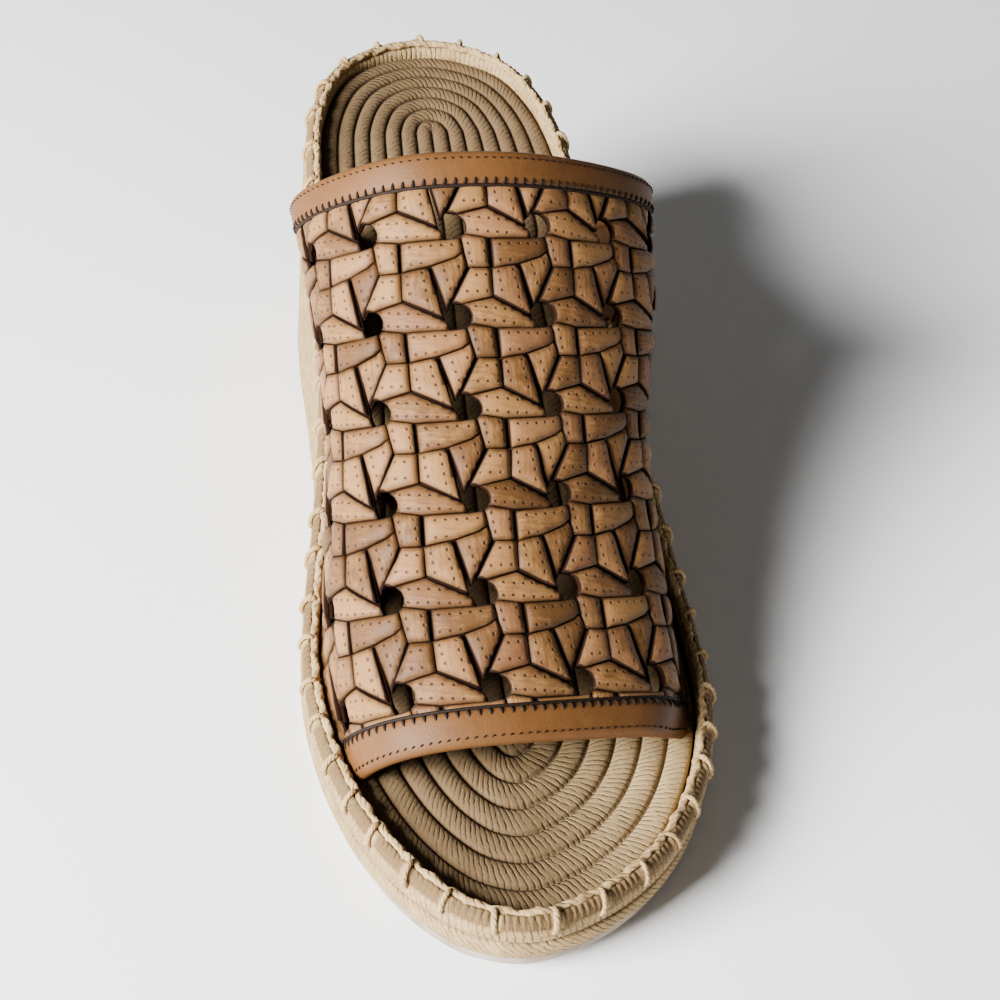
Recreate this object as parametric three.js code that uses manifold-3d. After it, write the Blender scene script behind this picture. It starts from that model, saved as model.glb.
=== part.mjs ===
// Open-toe espadrille wedge for the left foot: a woven leather vamp on a rope-covered wedge.
// Millimetres, +Z up. The toe points to -Y, the lateral (outer) side is +X, the floor is z = 0.
// s is the distance back from the tip of the toe, so y = s - SHOE_LENGTH / 2.
import * as THREE from 'three';
import { mergeVertices } from 'three/addons/utils/BufferGeometryUtils.js';
import Module from 'manifold-3d';

const wasm = await Module();
wasm.setup();

// Driving sizes
const SHOE_LENGTH = 247;
const GAP = 0.3;

// Sole
const OUTSOLE_THICK = 3;
const OUTSOLE_INSET = 1.2;
const COURSE_HEIGHT = 6;
const COURSE_DEPTH = 0.9;
const COURSE_COUNT = 13;
const TOE_SPRING = 5;
const TOE_SPRING_LENGTH = 42;
const WEDGE_FLARE = 3;
const INSOLE_THICK = 4.5;
const COIL_COUNT = 6;
const COIL_RISE = 1.3;
const COIL_TOE_CENTRE = 46;
const COIL_HEEL_CENTRE = 212;
const BAND_WIDTH = 3.9;
const BAND_RISE = 3.2;
const CORD_WIDTH = 2;
const OUTLINE_STEPS = 44;

// Upper
const WALL = 1.3;
const STRIP_RISE = 0.9;
const STRIP_BEVEL = 0.45;
const CELL_ROUND = 19.4;
const CELL_ALONG = 20.4;
const FIRST_HOLES = 12;
const RAND_HEIGHT = 7.5;
const RAND_THICK = 2.5;
const RAND_LINING = 0.15;
const FLANGE_LOW = 0.4;
const FLANGE_HIGH = 1;
const FOOT_CLEAR = 0.5;
const INSOLE_MARGIN = 4.2;
const MARGIN_FRONT = 26;
const MARGIN_BACK = 188;
const MARGIN_TAPER = 14;
const BINDING_WIDTH = 7.6;
const BINDING_THICK = 1.05;
const BINDING_FOLD = 1.2;
const BINDING_FOOT = INSOLE_THICK + 2 * GAP;
const BINDING_STATIONS = 17;
const FOOT_CROWDING = 0.4;

// Edge of the footbed, half widths each side of the straight line from toe to heel
const FOOTBED_OUTLINE = [
  { s: 8.6, medial: 14.6, lateral: 8.6 },
  { s: 16, medial: 22.4, lateral: 20.4 },
  { s: 27, medial: 29.6, lateral: 30.4 },
  { s: 42, medial: 36, lateral: 38.4 },
  { s: 58, medial: 39.8, lateral: 42.8 },
  { s: 74, medial: 41, lateral: 43.6 },
  { s: 92, medial: 39, lateral: 42.4 },
  { s: 116, medial: 34.8, lateral: 40 },
  { s: 145, medial: 31.6, lateral: 37.4 },
  { s: 170, medial: 30.8, lateral: 35 },
  { s: 194, medial: 30.4, lateral: 32.6 },
  { s: 216, medial: 28, lateral: 28.4 },
  { s: 232, medial: 20.8, lateral: 20.8 },
  { s: 239.6, medial: 10.6, lateral: 10.6 },
];
const FOOTBED_TOE = { s: 5.2, x: -4 };
const FOOTBED_HEEL = { s: 242, x: 0 };

// Height of the footbed above the floor
const FOOTBED_HEIGHT = [
  { s: -10, z: 20.5 },
  { s: 5, z: 18.5 },
  { s: 25, z: 16.6 },
  { s: 50, z: 16 },
  { s: 75, z: 17.6 },
  { s: 100, z: 24 },
  { s: 130, z: 36.5 },
  { s: 160, z: 50 },
  { s: 190, z: 62.5 },
  { s: 220, z: 71.5 },
  { s: 260, z: 76 },
];

// Sections of the vamp from its front edge to its throat: top of the arch, where its two feet stand,
// how full each side is (2 is an ellipse, more is squarer) and how far the sides swell over the sole
const VAMP_SECTIONS = [
  { part: 0, ridgeS: 36, ridgeZ: 37, ridgeX: -6, medialS: 46, lateralS: 51,
    medialFull: 2.3, lateralFull: 1.75, medialSwell: 0, lateralSwell: 4.5 },
  { part: 0.25, ridgeS: 64, ridgeZ: 52, ridgeX: -7, medialS: 90, lateralS: 94,
    medialFull: 2.3, lateralFull: 1.75, medialSwell: 1.5, lateralSwell: 5.5 },
  { part: 0.5, ridgeS: 92, ridgeZ: 69, ridgeX: -6.5, medialS: 128, lateralS: 132,
    medialFull: 2.3, lateralFull: 2, medialSwell: 3.5, lateralSwell: 7 },
  { part: 0.75, ridgeS: 119, ridgeZ: 88, ridgeX: -7, medialS: 158, lateralS: 160,
    medialFull: 2.3, lateralFull: 2.8, medialSwell: 7.5, lateralSwell: 12 },
  { part: 1, ridgeS: 145, ridgeZ: 109, ridgeX: -6.5, medialS: 185, lateralS: 186,
    medialFull: 2.5, lateralFull: 3, medialSwell: 11, lateralSwell: 16 },
];

// One cell of the weave, in cell units: a runs to the lateral side, b to the toe, a hole lies at 0, 0.
// Each strip is a polygon; rise is how far its corner stands up, as a share of STRIP_RISE.
const WEAVE_STRIPS = [
  { name: 'band', corners: [
    { a: -0.6, b: -0.86, rise: 0.9 }, { a: -0.1, b: -0.855, rise: 1 },
    { a: 0.12, b: -0.92, rise: 0.8 }, { a: 0.4, b: -0.86, rise: 0.9 }, { a: 0.4, b: -0.53, rise: 0.9 },
    { a: 0.14, b: -0.54, rise: 0.8 }, { a: -0.07, b: -0.17, rise: 0.3 }, { a: -0.28, b: -0.57, rise: 0.8 },
    { a: -0.6, b: -0.53, rise: 0.9 }] },
  { name: 'tile', corners: [
    { a: 0.14, b: -0.54, rise: 1 }, { a: 0.4, b: -0.53, rise: 1 }, { a: 0.4, b: -0.21, rise: 1 },
    { a: 0.05, b: -0.14, rise: 0.9 }, { a: -0.07, b: -0.17, rise: 0.9 }] },
  { name: 'upright', corners: [
    { a: 0.4, b: -0.53, rise: 0.7 }, { a: 0.72, b: -0.57, rise: 0.8 }, { a: 0.85, b: 0.04, rise: 1 },
    { a: 0.4, b: -0.21, rise: 0.8 }] },
  { name: 'leaf', corners: [
    { a: 0.05, b: -0.14, rise: 0.3 }, { a: 0.4, b: -0.21, rise: 0.5 }, { a: 0.85, b: 0.04, rise: 0.5 },
    { a: 0.9, b: 0.145, rise: 0.8 }, { a: 0.4, b: 0.14, rise: 0.9 }, { a: 0.12, b: 0.08, rise: 0.6 }] },
];

// Smooth value of one column of a table, read at a value of its key column
function readTable(table, key, column, at) {
  const last = table.length - 1;
  const clamped = THREE.MathUtils.clamp(at, table[0][key], table[last][key]);
  let i = 0;
  while (i < last - 1 && clamped > table[i + 1][key]) i += 1;
  const slopeAt = (k) => {
    const from = table[Math.max(k - 1, 0)];
    const to = table[Math.min(k + 1, last)];
    return (to[column] - from[column]) / (to[key] - from[key]);
  };
  const span = table[i + 1][key] - table[i][key];
  const t = (clamped - table[i][key]) / span;
  const t2 = t * t;
  const t3 = t2 * t;
  return (2 * t3 - 3 * t2 + 1) * table[i][column] + (t3 - 2 * t2 + t) * span * slopeAt(i)
    + (3 * t2 - 2 * t3) * table[i + 1][column] + (t3 - t2) * span * slopeAt(i + 1);
}

const toY = (s) => s - SHOE_LENGTH / 2;
const footbedZ = (s) => readTable(FOOTBED_HEIGHT, 's', 'z', s);
const platformZ = (s) => footbedZ(s) - INSOLE_THICK;

function toeSpring(s) {
  const forward = Math.max(0, TOE_SPRING_LENGTH - s) / TOE_SPRING_LENGTH;
  return TOE_SPRING * forward * forward;
}

// Plan outline of the footbed as a closed smooth curve: toe, lateral side, heel, medial side
const outlineCurve = new THREE.CatmullRomCurve3([
  new THREE.Vector3(FOOTBED_TOE.x, FOOTBED_TOE.s, 0),
  ...FOOTBED_OUTLINE.map((row) => new THREE.Vector3(row.lateral, row.s, 0)),
  new THREE.Vector3(FOOTBED_HEEL.x, FOOTBED_HEEL.s, 0),
  ...FOOTBED_OUTLINE.map((row) => new THREE.Vector3(-row.medial, row.s, 0)).reverse(),
], true, 'centripetal');
outlineCurve.arcLengthDivisions = 800;

// Points round the outline with s in y, moved outwards by outset(s)
function outlineAt(outset, steps = OUTLINE_STEPS) {
  const points = [];
  for (let i = 0; i < steps; i += 1) {
    const at = outlineCurve.getPointAt(i / steps);
    const along = outlineCurve.getTangentAt(i / steps);
    const out = outset(at.y);
    points.push({ x: at.x + along.y * out, s: at.y - along.x * out });
  }
  return points;
}

// Half width of the footbed at s on one side, read from the outline rows
function footbedHalfWidth(s, side) {
  return readTable(FOOTBED_OUTLINE, 's', side > 0 ? 'lateral' : 'medial', s);
}

function geometryFrom(positions, triangles) {
  const geometry = new THREE.BufferGeometry();
  geometry.setAttribute('position', new THREE.Float32BufferAttribute(positions, 3));
  geometry.setIndex(triangles);
  return geometry;
}

// Ring-shaped solid through closed loops of equal count, the last loop joined to the first
function loopedLoft(loops) {
  const count = loops[0].length;
  const positions = loops.flat().flatMap((p) => [p.x, p.y, p.z]);
  const triangles = [];
  for (let r = 0; r < loops.length; r += 1) {
    const next = (r + 1) % loops.length;
    for (let i = 0; i < count; i += 1) {
      const j = (i + 1) % count;
      triangles.push(r * count + i, r * count + j, next * count + j);
      triangles.push(r * count + i, next * count + j, next * count + i);
    }
  }
  return geometryFrom(positions, triangles);
}

// Joins and cuts work on merged closed meshes
function solid(geometry) {
  const bare = geometry.clone();
  for (const name of Object.keys(bare.attributes)) {
    if (name !== 'position') bare.deleteAttribute(name);
  }
  const merged = mergeVertices(bare, 1e-4);
  const mesh = new wasm.Mesh({
    numProp: 3,
    vertProperties: new Float32Array(merged.attributes.position.array),
    triVerts: new Uint32Array(merged.index.array),
  });
  mesh.merge();
  return new wasm.Manifold(mesh);
}

function geometryOf(manifold) {
  const mesh = manifold.getMesh();
  return geometryFrom(Array.from(mesh.vertProperties), Array.from(mesh.triVerts));
}

// Block under or over the sloping platform, raised by lift, as wide as the shoe needs
function platformBlock(lift, upward) {
  const BLOCK_HALF_WIDTH = 90;
  const BLOCK_END = 30;
  const BLOCK_REACH = 300;
  const PLATFORM_STEP = 8;
  const profile = [];
  for (let s = -BLOCK_END; s <= SHOE_LENGTH + BLOCK_END; s += PLATFORM_STEP) {
    profile.push(new THREE.Vector2(toY(s), platformZ(s) + lift));
  }
  const far = upward ? BLOCK_REACH : -BLOCK_REACH;
  profile.push(new THREE.Vector2(profile[profile.length - 1].x, far), new THREE.Vector2(profile[0].x, far));
  const geometry = new THREE.ExtrudeGeometry(new THREE.Shape(profile), {
    depth: 2 * BLOCK_HALF_WIDTH, bevelEnabled: false,
  });
  // The extrusion runs along z; this turn takes it to x, and the profile to y and z
  geometry.applyMatrix4(new THREE.Matrix4().set(
    0, 0, 1, -BLOCK_HALF_WIDTH,
    1, 0, 0, 0,
    0, 1, 0, 0,
    0, 0, 0, 1,
  ));
  return solid(geometry);
}

// Thin rubber sheet with a rounded lower edge
function makeOutsole() {
  const EDGE_ROUND = 0.8;
  const levels = [
    { z: 0, inset: OUTSOLE_INSET + EDGE_ROUND },
    { z: EDGE_ROUND, inset: OUTSOLE_INSET },
    { z: OUTSOLE_THICK, inset: OUTSOLE_INSET },
  ];
  const rings = levels.map((level) => outlineAt(() => BAND_WIDTH - level.inset)
    .map((p) => new THREE.Vector3(p.x, toY(p.s), level.z + toeSpring(p.s))));
  return stripSole(rings);
}

// Closed solid between a bottom and a top ring that bend along s: the faces run in strips across the sole
function stripSole(rings) {
  const count = rings[0].length;
  const positions = rings.flat().flatMap((p) => [p.x, p.y, p.z]);
  const triangles = [];
  for (let r = 0; r < rings.length - 1; r += 1) {
    for (let i = 0; i < count; i += 1) {
      const j = (i + 1) % count;
      triangles.push(r * count + i, r * count + j, (r + 1) * count + j);
      triangles.push(r * count + i, (r + 1) * count + j, (r + 1) * count + i);
    }
  }
  const top = (rings.length - 1) * count;
  for (let i = 0; i < count / 2; i += 1) {
    const far = (count - i) % count;
    const farNext = count - i - 1;
    if (far !== i) {
      triangles.push(top + i, top + i + 1, top + far);
      triangles.push(i + 1, i, far);
    }
    if (farNext !== i + 1) {
      triangles.push(top + i + 1, top + farNext, top + far);
      triangles.push(farNext, i + 1, far);
    }
  }
  return geometryFrom(positions, triangles);
}

// Wedge: level rope courses up to the heel's height, then cut off along the sloping platform
function makeWedge() {
  const full = COURSE_COUNT * COURSE_HEIGHT;
  const rings = [];
  for (let k = 0; k <= 2 * COURSE_COUNT; k += 1) {
    const z = k * COURSE_HEIGHT / 2;
    const inset = k % 2 === 0 ? COURSE_DEPTH : 0;
    const flare = WEDGE_FLARE * (1 - z / full);
    const heelward = (s) => THREE.MathUtils.smoothstep(s, SHOE_LENGTH / 3, SHOE_LENGTH);
    rings.push(outlineAt((s) => BAND_WIDTH - inset + flare * heelward(s))
      .map((p) => new THREE.Vector3(p.x, toY(p.s), OUTSOLE_THICK + GAP + z + toeSpring(p.s))));
  }
  return geometryOf(solid(stripSole(rings)).subtract(platformBlock(0, true)));
}

// Coiled rope footbed: ridges that follow the outline inwards, a margin left where the vamp comes down
function insoleInset(s) {
  const front = THREE.MathUtils.smoothstep(s, MARGIN_FRONT, MARGIN_FRONT + MARGIN_TAPER);
  const back = THREE.MathUtils.smoothstep(s, MARGIN_BACK, MARGIN_BACK + MARGIN_TAPER);
  return GAP + (INSOLE_MARGIN - GAP) * (front - back);
}

function makeInsole() {
  const BLANK_FLOOR = -5;
  const edge = outlineAt((s) => -insoleInset(s));
  const rings = [edge.map((p) => new THREE.Vector3(p.x, toY(p.s), BLANK_FLOOR))];
  for (let k = 0; k < 2 * COIL_COUNT; k += 1) {
    const share = 1 - k / (2 * COIL_COUNT);
    const rise = k % 2 === 0 ? -COIL_RISE : 0;
    rings.push(edge.map((p) => {
      const hubS = THREE.MathUtils.clamp(p.s, COIL_TOE_CENTRE, COIL_HEEL_CENTRE);
      const s = hubS + (p.s - hubS) * share;
      return new THREE.Vector3(p.x * share, toY(s), footbedZ(s) + rise);
    }));
  }
  return geometryOf(solid(stripSole(rings)).subtract(platformBlock(GAP, false)));
}

// Band round the top edge of the sole, outside the vamp, with its top rounded over
function makeEdgeBand() {
  const levels = [
    { out: BAND_WIDTH, lift: 0, fromTop: false },
    { out: BAND_WIDTH, lift: -1.6, fromTop: true },
    { out: BAND_WIDTH - 1.4, lift: 0, fromTop: true },
    { out: CORD_WIDTH + GAP, lift: -0.3, fromTop: true },
    { out: CORD_WIDTH + GAP, lift: -2, fromTop: true },
    { out: 0, lift: -2, fromTop: true },
    { out: 0, lift: 0, fromTop: false },
  ];
  return loopedBand(levels);
}

// Thin cord lying in the step on the inner side of the band
function makeEdgeCord() {
  const levels = [
    { out: CORD_WIDTH, lift: -1.7, fromTop: true },
    { out: CORD_WIDTH * 0.75, lift: 0.4, fromTop: true },
    { out: CORD_WIDTH * 0.25, lift: 0.4, fromTop: true },
    { out: 0, lift: -1.7, fromTop: true },
  ];
  return loopedBand(levels);
}

// Ring round the footbed whose section is given by levels above the platform or from the band's top
function loopedBand(levels) {
  const columns = levels.map((level) => outlineAt(() => level.out).map((p) => {
    const base = level.fromTop ? footbedZ(p.s) + BAND_RISE : platformZ(p.s) + GAP;
    return new THREE.Vector3(p.x, toY(p.s), base + level.lift);
  }));
  return loopedLoft(columns);
}

// Top line of the vamp, front edge to throat
const ridgeCurve = new THREE.CatmullRomCurve3(
  VAMP_SECTIONS.map((row) => new THREE.Vector3(row.ridgeX, row.ridgeS, row.ridgeZ)), false, 'centripetal');
const RIDGE_LENGTH = ridgeCurve.getLength();

// One section of the last under the vamp: points from the ridge down each side, with their girth
const SECTION_STEPS = 40;
const SWELL_LOW = 0.75;
const SWELL_EASE = 1.35;
const SWELL_START = INSOLE_THICK + BAND_RISE + 2;
const sectionCache = new Map();
function vampSection(along) {
  const key = along.toFixed(3);
  if (sectionCache.has(key)) return sectionCache.get(key);
  const part = THREE.MathUtils.clamp(along / RIDGE_LENGTH, 0, 1);
  const beyond = along - part * RIDGE_LENGTH;
  const ridge = ridgeCurve.getPointAt(part).addScaledVector(ridgeCurve.getTangentAt(part), beyond);
  const column = (name) => readTable(VAMP_SECTIONS, 'part', name, part);
  const sides = {};
  for (const side of [-1, 1]) {
    const word = side > 0 ? 'lateral' : 'medial';
    const footS = column(`${word}S`) + beyond;
    const power = 2 / column(`${word}Full`);
    const swell = column(`${word}Swell`);
    const footZ = platformZ(footS);
    const rise = ridge.z - WALL - STRIP_RISE - footZ;
    const points = [];
    const girth = [0];
    for (let k = 0; k <= SECTION_STEPS; k += 1) {
      const turn = (1 - k / SECTION_STEPS) * Math.PI / 2;
      const up = Math.sin(turn) ** power;
      const outward = Math.max(Math.cos(turn), 0) ** power;
      const s = footS + (ridge.y - footS) * up;
      const edge = footbedHalfWidth(s, side) - FOOT_CLEAR - RAND_THICK;
      const aboveBand = Math.max(0, up * rise - SWELL_START) / (rise - SWELL_START);
      const bulge = swell * Math.max(0, Math.sin(Math.PI * aboveBand ** SWELL_LOW)) ** SWELL_EASE;
      const x = ridge.x * up * up + side * (edge * outward + bulge);
      points.push(new THREE.Vector3(x, toY(s), footZ + rise * up));
      if (k > 0) girth.push(girth[k - 1] + points[k].distanceTo(points[k - 1]));
    }
    sides[side] = { points, girth };
  }
  sectionCache.set(key, sides);
  return sides;
}

const girthAt = (along, side) => vampSection(along)[side].girth[SECTION_STEPS];

// Point of the last at a distance round from the ridge (lateral is positive) and back from the front edge
function lastPoint(round, along) {
  const { points, girth } = vampSection(along)[round < 0 ? -1 : 1];
  const reach = Math.abs(round);
  let k = 1;
  while (k < SECTION_STEPS && girth[k] < reach) k += 1;
  const share = (reach - girth[k - 1]) / (girth[k] - girth[k - 1]);
  return new THREE.Vector3().lerpVectors(points[k - 1], points[k], share);
}

// The same point lifted off the last along its outward normal
function vampPoint(round, along, lift) {
  const STEP = 1.5;
  const at = lastPoint(round, along);
  const across = lastPoint(round + STEP, along).sub(lastPoint(round - STEP, along));
  const back = lastPoint(round, along + STEP).sub(lastPoint(round, along - STEP));
  return at.addScaledVector(across.cross(back).normalize(), lift);
}

const evenly = (from, to, steps) => Array.from({ length: steps + 1 }, (_, i) => from + (to - from) * i / steps);

// Girth positions of the bindings' sections, medial foot to lateral foot, closer together towards the feet
const bindingRounds = (along) => evenly(0, 1, BINDING_STATIONS).map((share) => {
  const closer = share - FOOT_CROWDING * Math.sin(2 * Math.PI * share) / (2 * Math.PI);
  return THREE.MathUtils.lerp(BINDING_FOOT - girthAt(along, -1), girthAt(along, 1) - BINDING_FOOT, closer);
});

// Patch of the last at the girth positions rounds(along), from one lift to another, as a closed solid
function vampPatch({ rounds, front, back, low, high, alongSteps }) {
  const rings = evenly(front, back, alongSteps).map((along) => {
    const across = rounds(along);
    return [
      ...across.map((round) => vampPoint(round, along, low)),
      ...across.map((round) => vampPoint(round, along, high)).reverse(),
    ];
  });
  return patchSolid(rings, rounds(front).length - 1);
}

// Closes a patch: skin between rings, and end walls made of quads between its low and high edges
function patchSolid(rings, acrossSteps) {
  const count = rings[0].length;
  const positions = rings.flat().flatMap((p) => [p.x, p.y, p.z]);
  const triangles = [];
  const quad = (a, b, c, d) => triangles.push(a, b, d, b, c, d);
  for (let r = 0; r < rings.length - 1; r += 1) {
    for (let i = 0; i < count; i += 1) {
      const j = (i + 1) % count;
      quad(r * count + i, (r + 1) * count + i, (r + 1) * count + j, r * count + j);
    }
  }
  const end = (rings.length - 1) * count;
  for (let i = 0; i < acrossSteps; i += 1) {
    const high = count - 1 - i;
    quad(i, i + 1, high - 1, high);
    quad(end + i + 1, end + i, end + high, end + high - 1);
  }
  return geometryFrom(positions, triangles);
}

// The weave: every strip is a raised tile on the wall, holes are left open between strips
function makeWeave() {
  const EXTRA_CELLS = 1;
  const widest = Math.max(girthAt(RIDGE_LENGTH, 1), girthAt(RIDGE_LENGTH, -1));
  const columns = Math.ceil(widest / CELL_ROUND) + EXTRA_CELLS;
  const rows = Math.ceil((RIDGE_LENGTH - FIRST_HOLES) / CELL_ALONG) + EXTRA_CELLS;
  const positions = [];
  const triangles = [];
  const seen = new Map();
  const edges = new Map();
  const vertex = (round, along, lift, tag) => {
    const key = `${round.toFixed(2)} ${along.toFixed(2)} ${tag}`;
    if (!seen.has(key)) {
      seen.set(key, positions.length / 3);
      positions.push(...vampPoint(round, along, lift).toArray());
    }
    return seen.get(key);
  };
  for (let row = -EXTRA_CELLS; row <= rows; row += 1) {
    for (let column = -columns; column <= columns; column += 1) {
      for (const strip of WEAVE_STRIPS) {
        // b runs against the distance along the vamp, so the corners are taken in reverse
        const corners = [...strip.corners].reverse();
        const flat = corners.map((corner) => new THREE.Vector2(
          (corner.a + column) * CELL_ROUND, FIRST_HOLES + (row - corner.b) * CELL_ALONG));
        const girthEnd = Math.max(...flat.map((p) => Math.abs(p.x)));
        const middle = flat.reduce((sum, p) => sum + p.y, 0) / flat.length;
        if (girthEnd > girthAt(middle, Math.sign(flat[0].x) || 1) + CELL_ROUND) continue;
        const inset = insetPolygon(flat, STRIP_BEVEL);
        const tag = `${strip.name} ${row} ${column}`;
        const base = flat.map((p) => vertex(p.x, p.y, WALL, 'base'));
        const under = flat.map((p) => vertex(p.x, p.y, 0, 'under'));
        const top = inset.map((p, i) => vertex(p.x, p.y, WALL + STRIP_RISE * corners[i].rise, tag));
        for (const [a, b, c] of THREE.ShapeUtils.triangulateShape(flat, [])) {
          triangles.push(top[a], top[b], top[c], under[a], under[c], under[b]);
        }
        for (let i = 0; i < flat.length; i += 1) {
          const j = (i + 1) % flat.length;
          triangles.push(base[i], base[j], top[j], base[i], top[j], top[i]);
          edges.set(`${base[i]} ${base[j]}`, [base[i], base[j], under[i], under[j]]);
        }
      }
    }
  }
  // Walls close every edge that only one strip has: round the holes and along the outer border
  for (const [i, j, below, belowNext] of edges.values()) {
    if (edges.has(`${j} ${i}`)) continue;
    triangles.push(j, i, below, j, below, belowNext);
  }
  return geometryFrom(positions, triangles);
}

// Polygon drawn in by a set distance, corner by corner
function insetPolygon(points, distance) {
  const turn = THREE.ShapeUtils.isClockWise(points) ? -1 : 1;
  const SHARPEST = 2.5;
  return points.map((p, i) => {
    const before = points[(i + points.length - 1) % points.length];
    const after = points[(i + 1) % points.length];
    const inA = new THREE.Vector2(-(p.y - before.y), p.x - before.x).normalize().multiplyScalar(turn);
    const inB = new THREE.Vector2(-(after.y - p.y), after.x - p.x).normalize().multiplyScalar(turn);
    const middle = inA.clone().add(inB).normalize();
    const stretch = Math.min(1 / Math.max(middle.dot(inA), 0.01), SHARPEST);
    return p.clone().addScaledVector(middle, distance * stretch);
  });
}

// Upper: the weave cut to its panel, plain strips along both feet, plain margins inside the bindings
function makeUpper() {
  const LAP = 0.5;
  const SINK = 1;
  const PANEL_INSIDE = 2.4;
  const PANEL_OUTSIDE = 3;
  const EDGE_GAP = 0.6;
  const ALONG = 12;
  const front = BINDING_WIDTH + EDGE_GAP;
  const back = RIDGE_LENGTH - BINDING_WIDTH - EDGE_GAP;
  const foot = (along, side, rise) => side * (girthAt(along, side) - rise);
  const panel = solid(vampPatch({
    rounds: (along) => [foot(along, -1, RAND_HEIGHT), ...bindingRounds(along).slice(1, -1),
      foot(along, 1, RAND_HEIGHT)],
    front, back, low: -PANEL_INSIDE, high: PANEL_OUTSIDE, alongSteps: ALONG,
  }));
  let upper = solid(makeWeave()).intersect(panel);
  for (const side of [-1, 1]) {
    const height = (along) => [foot(along, side, RAND_HEIGHT + LAP), foot(along, side, BINDING_FOOT),
      foot(along, side, -SINK)];
    upper = upper.add(solid(vampPatch({
      rounds: (along) => (side > 0 ? height(along) : height(along).reverse()),
      front, back, low: -RAND_LINING, high: RAND_THICK, alongSteps: ALONG,
    })));
  }
  const margins = [
    { front: BINDING_FOLD + GAP, back: front + LAP },
    { front: back - LAP, back: RIDGE_LENGTH - BINDING_FOLD - GAP },
  ];
  for (const margin of margins) {
    upper = upper.add(solid(vampPatch({
      ...margin, rounds: (along) => [foot(along, -1, -SINK), ...bindingRounds(along), foot(along, 1, -SINK)],
      low: FLANGE_LOW, high: FLANGE_HIGH, alongSteps: 1,
    })));
  }
  return geometryOf(upper.subtract(platformBlock(GAP, false)));
}

// Binding: a strip folded over an edge of the vamp. depth is the distance in from that edge.
function makeBinding(alongFrom) {
  const slotHigh = FLANGE_HIGH + GAP;
  const slotLow = FLANGE_LOW - GAP;
  const section = [
    { depth: BINDING_WIDTH, lift: slotHigh },
    { depth: BINDING_WIDTH, lift: slotHigh + BINDING_THICK * 0.7 },
    { depth: BINDING_WIDTH - 0.8, lift: slotHigh + BINDING_THICK },
    { depth: 0.9, lift: slotHigh + BINDING_THICK },
    { depth: 0, lift: slotHigh },
    { depth: 0, lift: slotLow },
    { depth: 0.9, lift: slotLow - BINDING_THICK },
    { depth: BINDING_WIDTH - 0.6, lift: slotLow - BINDING_THICK },
    { depth: BINDING_WIDTH - 0.6, lift: slotLow },
    { depth: BINDING_FOLD, lift: slotLow },
    { depth: BINDING_FOLD, lift: slotHigh },
  ];
  const flatSection = section.map(({ depth, lift }) => new THREE.Vector2(alongFrom(depth), lift));
  if (THREE.ShapeUtils.isClockWise(flatSection)) {
    section.reverse();
    flatSection.reverse();
  }
  const rings = evenly(0, BINDING_STATIONS, BINDING_STATIONS).map((station) => section.map(({ depth, lift }) => {
    const along = alongFrom(depth);
    return vampPoint(bindingRounds(along)[station], along, lift);
  }));
  return sectionTube(rings, flatSection);
}

// Tube of rings from the medial foot to the lateral foot, its ends closed by the section's own triangles
function sectionTube(rings, flatSection) {
  const count = rings[0].length;
  const positions = rings.flat().flatMap((p) => [p.x, p.y, p.z]);
  const triangles = [];
  for (let r = 0; r < rings.length - 1; r += 1) {
    for (let i = 0; i < count; i += 1) {
      const j = (i + 1) % count;
      triangles.push(r * count + i, r * count + j, (r + 1) * count + j);
      triangles.push(r * count + i, (r + 1) * count + j, (r + 1) * count + i);
    }
  }
  const end = (rings.length - 1) * count;
  for (const [a, b, c] of THREE.ShapeUtils.triangulateShape(flatSection, [])) {
    triangles.push(a, c, b);
    triangles.push(end + a, end + b, end + c);
  }
  return geometryFrom(positions, triangles);
}

const group = new THREE.Group();
function place(name, geometry, color, roughness) {
  const mesh = new THREE.Mesh(geometry, new THREE.MeshStandardMaterial({ color, roughness, metalness: 0 }));
  mesh.name = name;
  group.add(mesh);
}

place('outsole', makeOutsole(), 0xa79a88, 0.8);
place('wedge_sole', makeWedge(), 0xc8ae82, 0.95);
place('edge_band', makeEdgeBand(), 0xd2ba90, 0.95);
place('edge_cord', makeEdgeCord(), 0xe0cfa8, 0.9);
place('insole', makeInsole(), 0xb49a72, 0.95);
place('upper', makeUpper(), 0xa9794d, 0.55);
place('front_binding', makeBinding((depth) => depth), 0xb07a48, 0.5);
place('throat_binding', makeBinding((depth) => RIDGE_LENGTH - depth), 0xb07a48, 0.5);

export default group;
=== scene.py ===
# Open-toe espadrille wedge: woven leather vamp, rope-covered wedge, coiled jute footbed
import math
import random

import bmesh
import bpy
import numpy as np
from bpy.props import FloatProperty, FloatVectorProperty, PointerProperty
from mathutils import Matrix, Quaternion, Vector


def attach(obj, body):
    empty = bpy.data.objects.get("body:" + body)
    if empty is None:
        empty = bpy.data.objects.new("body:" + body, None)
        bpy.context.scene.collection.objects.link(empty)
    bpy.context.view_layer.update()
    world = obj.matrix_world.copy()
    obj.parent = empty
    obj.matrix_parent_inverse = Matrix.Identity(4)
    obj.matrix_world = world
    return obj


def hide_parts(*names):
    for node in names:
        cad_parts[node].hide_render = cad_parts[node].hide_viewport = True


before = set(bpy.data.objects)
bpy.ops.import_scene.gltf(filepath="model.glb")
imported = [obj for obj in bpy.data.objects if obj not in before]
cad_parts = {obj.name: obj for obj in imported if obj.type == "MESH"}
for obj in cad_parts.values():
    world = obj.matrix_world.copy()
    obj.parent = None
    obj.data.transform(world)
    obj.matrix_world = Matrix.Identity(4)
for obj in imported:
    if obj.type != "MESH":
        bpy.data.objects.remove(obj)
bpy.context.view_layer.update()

bl_info = {
    "name": "Espadrille wedge",
    "version": (1, 0, 0),
    "blender": (4, 5, 0),
    "location": "View3D > Sidebar > Espadrille",
    "description": "Builds a woven leather mule on a rope-covered wedge",
    "category": "Add Mesh",
}

MM = 0.001
FULL_TURN = 2 * math.pi
UV_LAYER = "surface"

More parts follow.
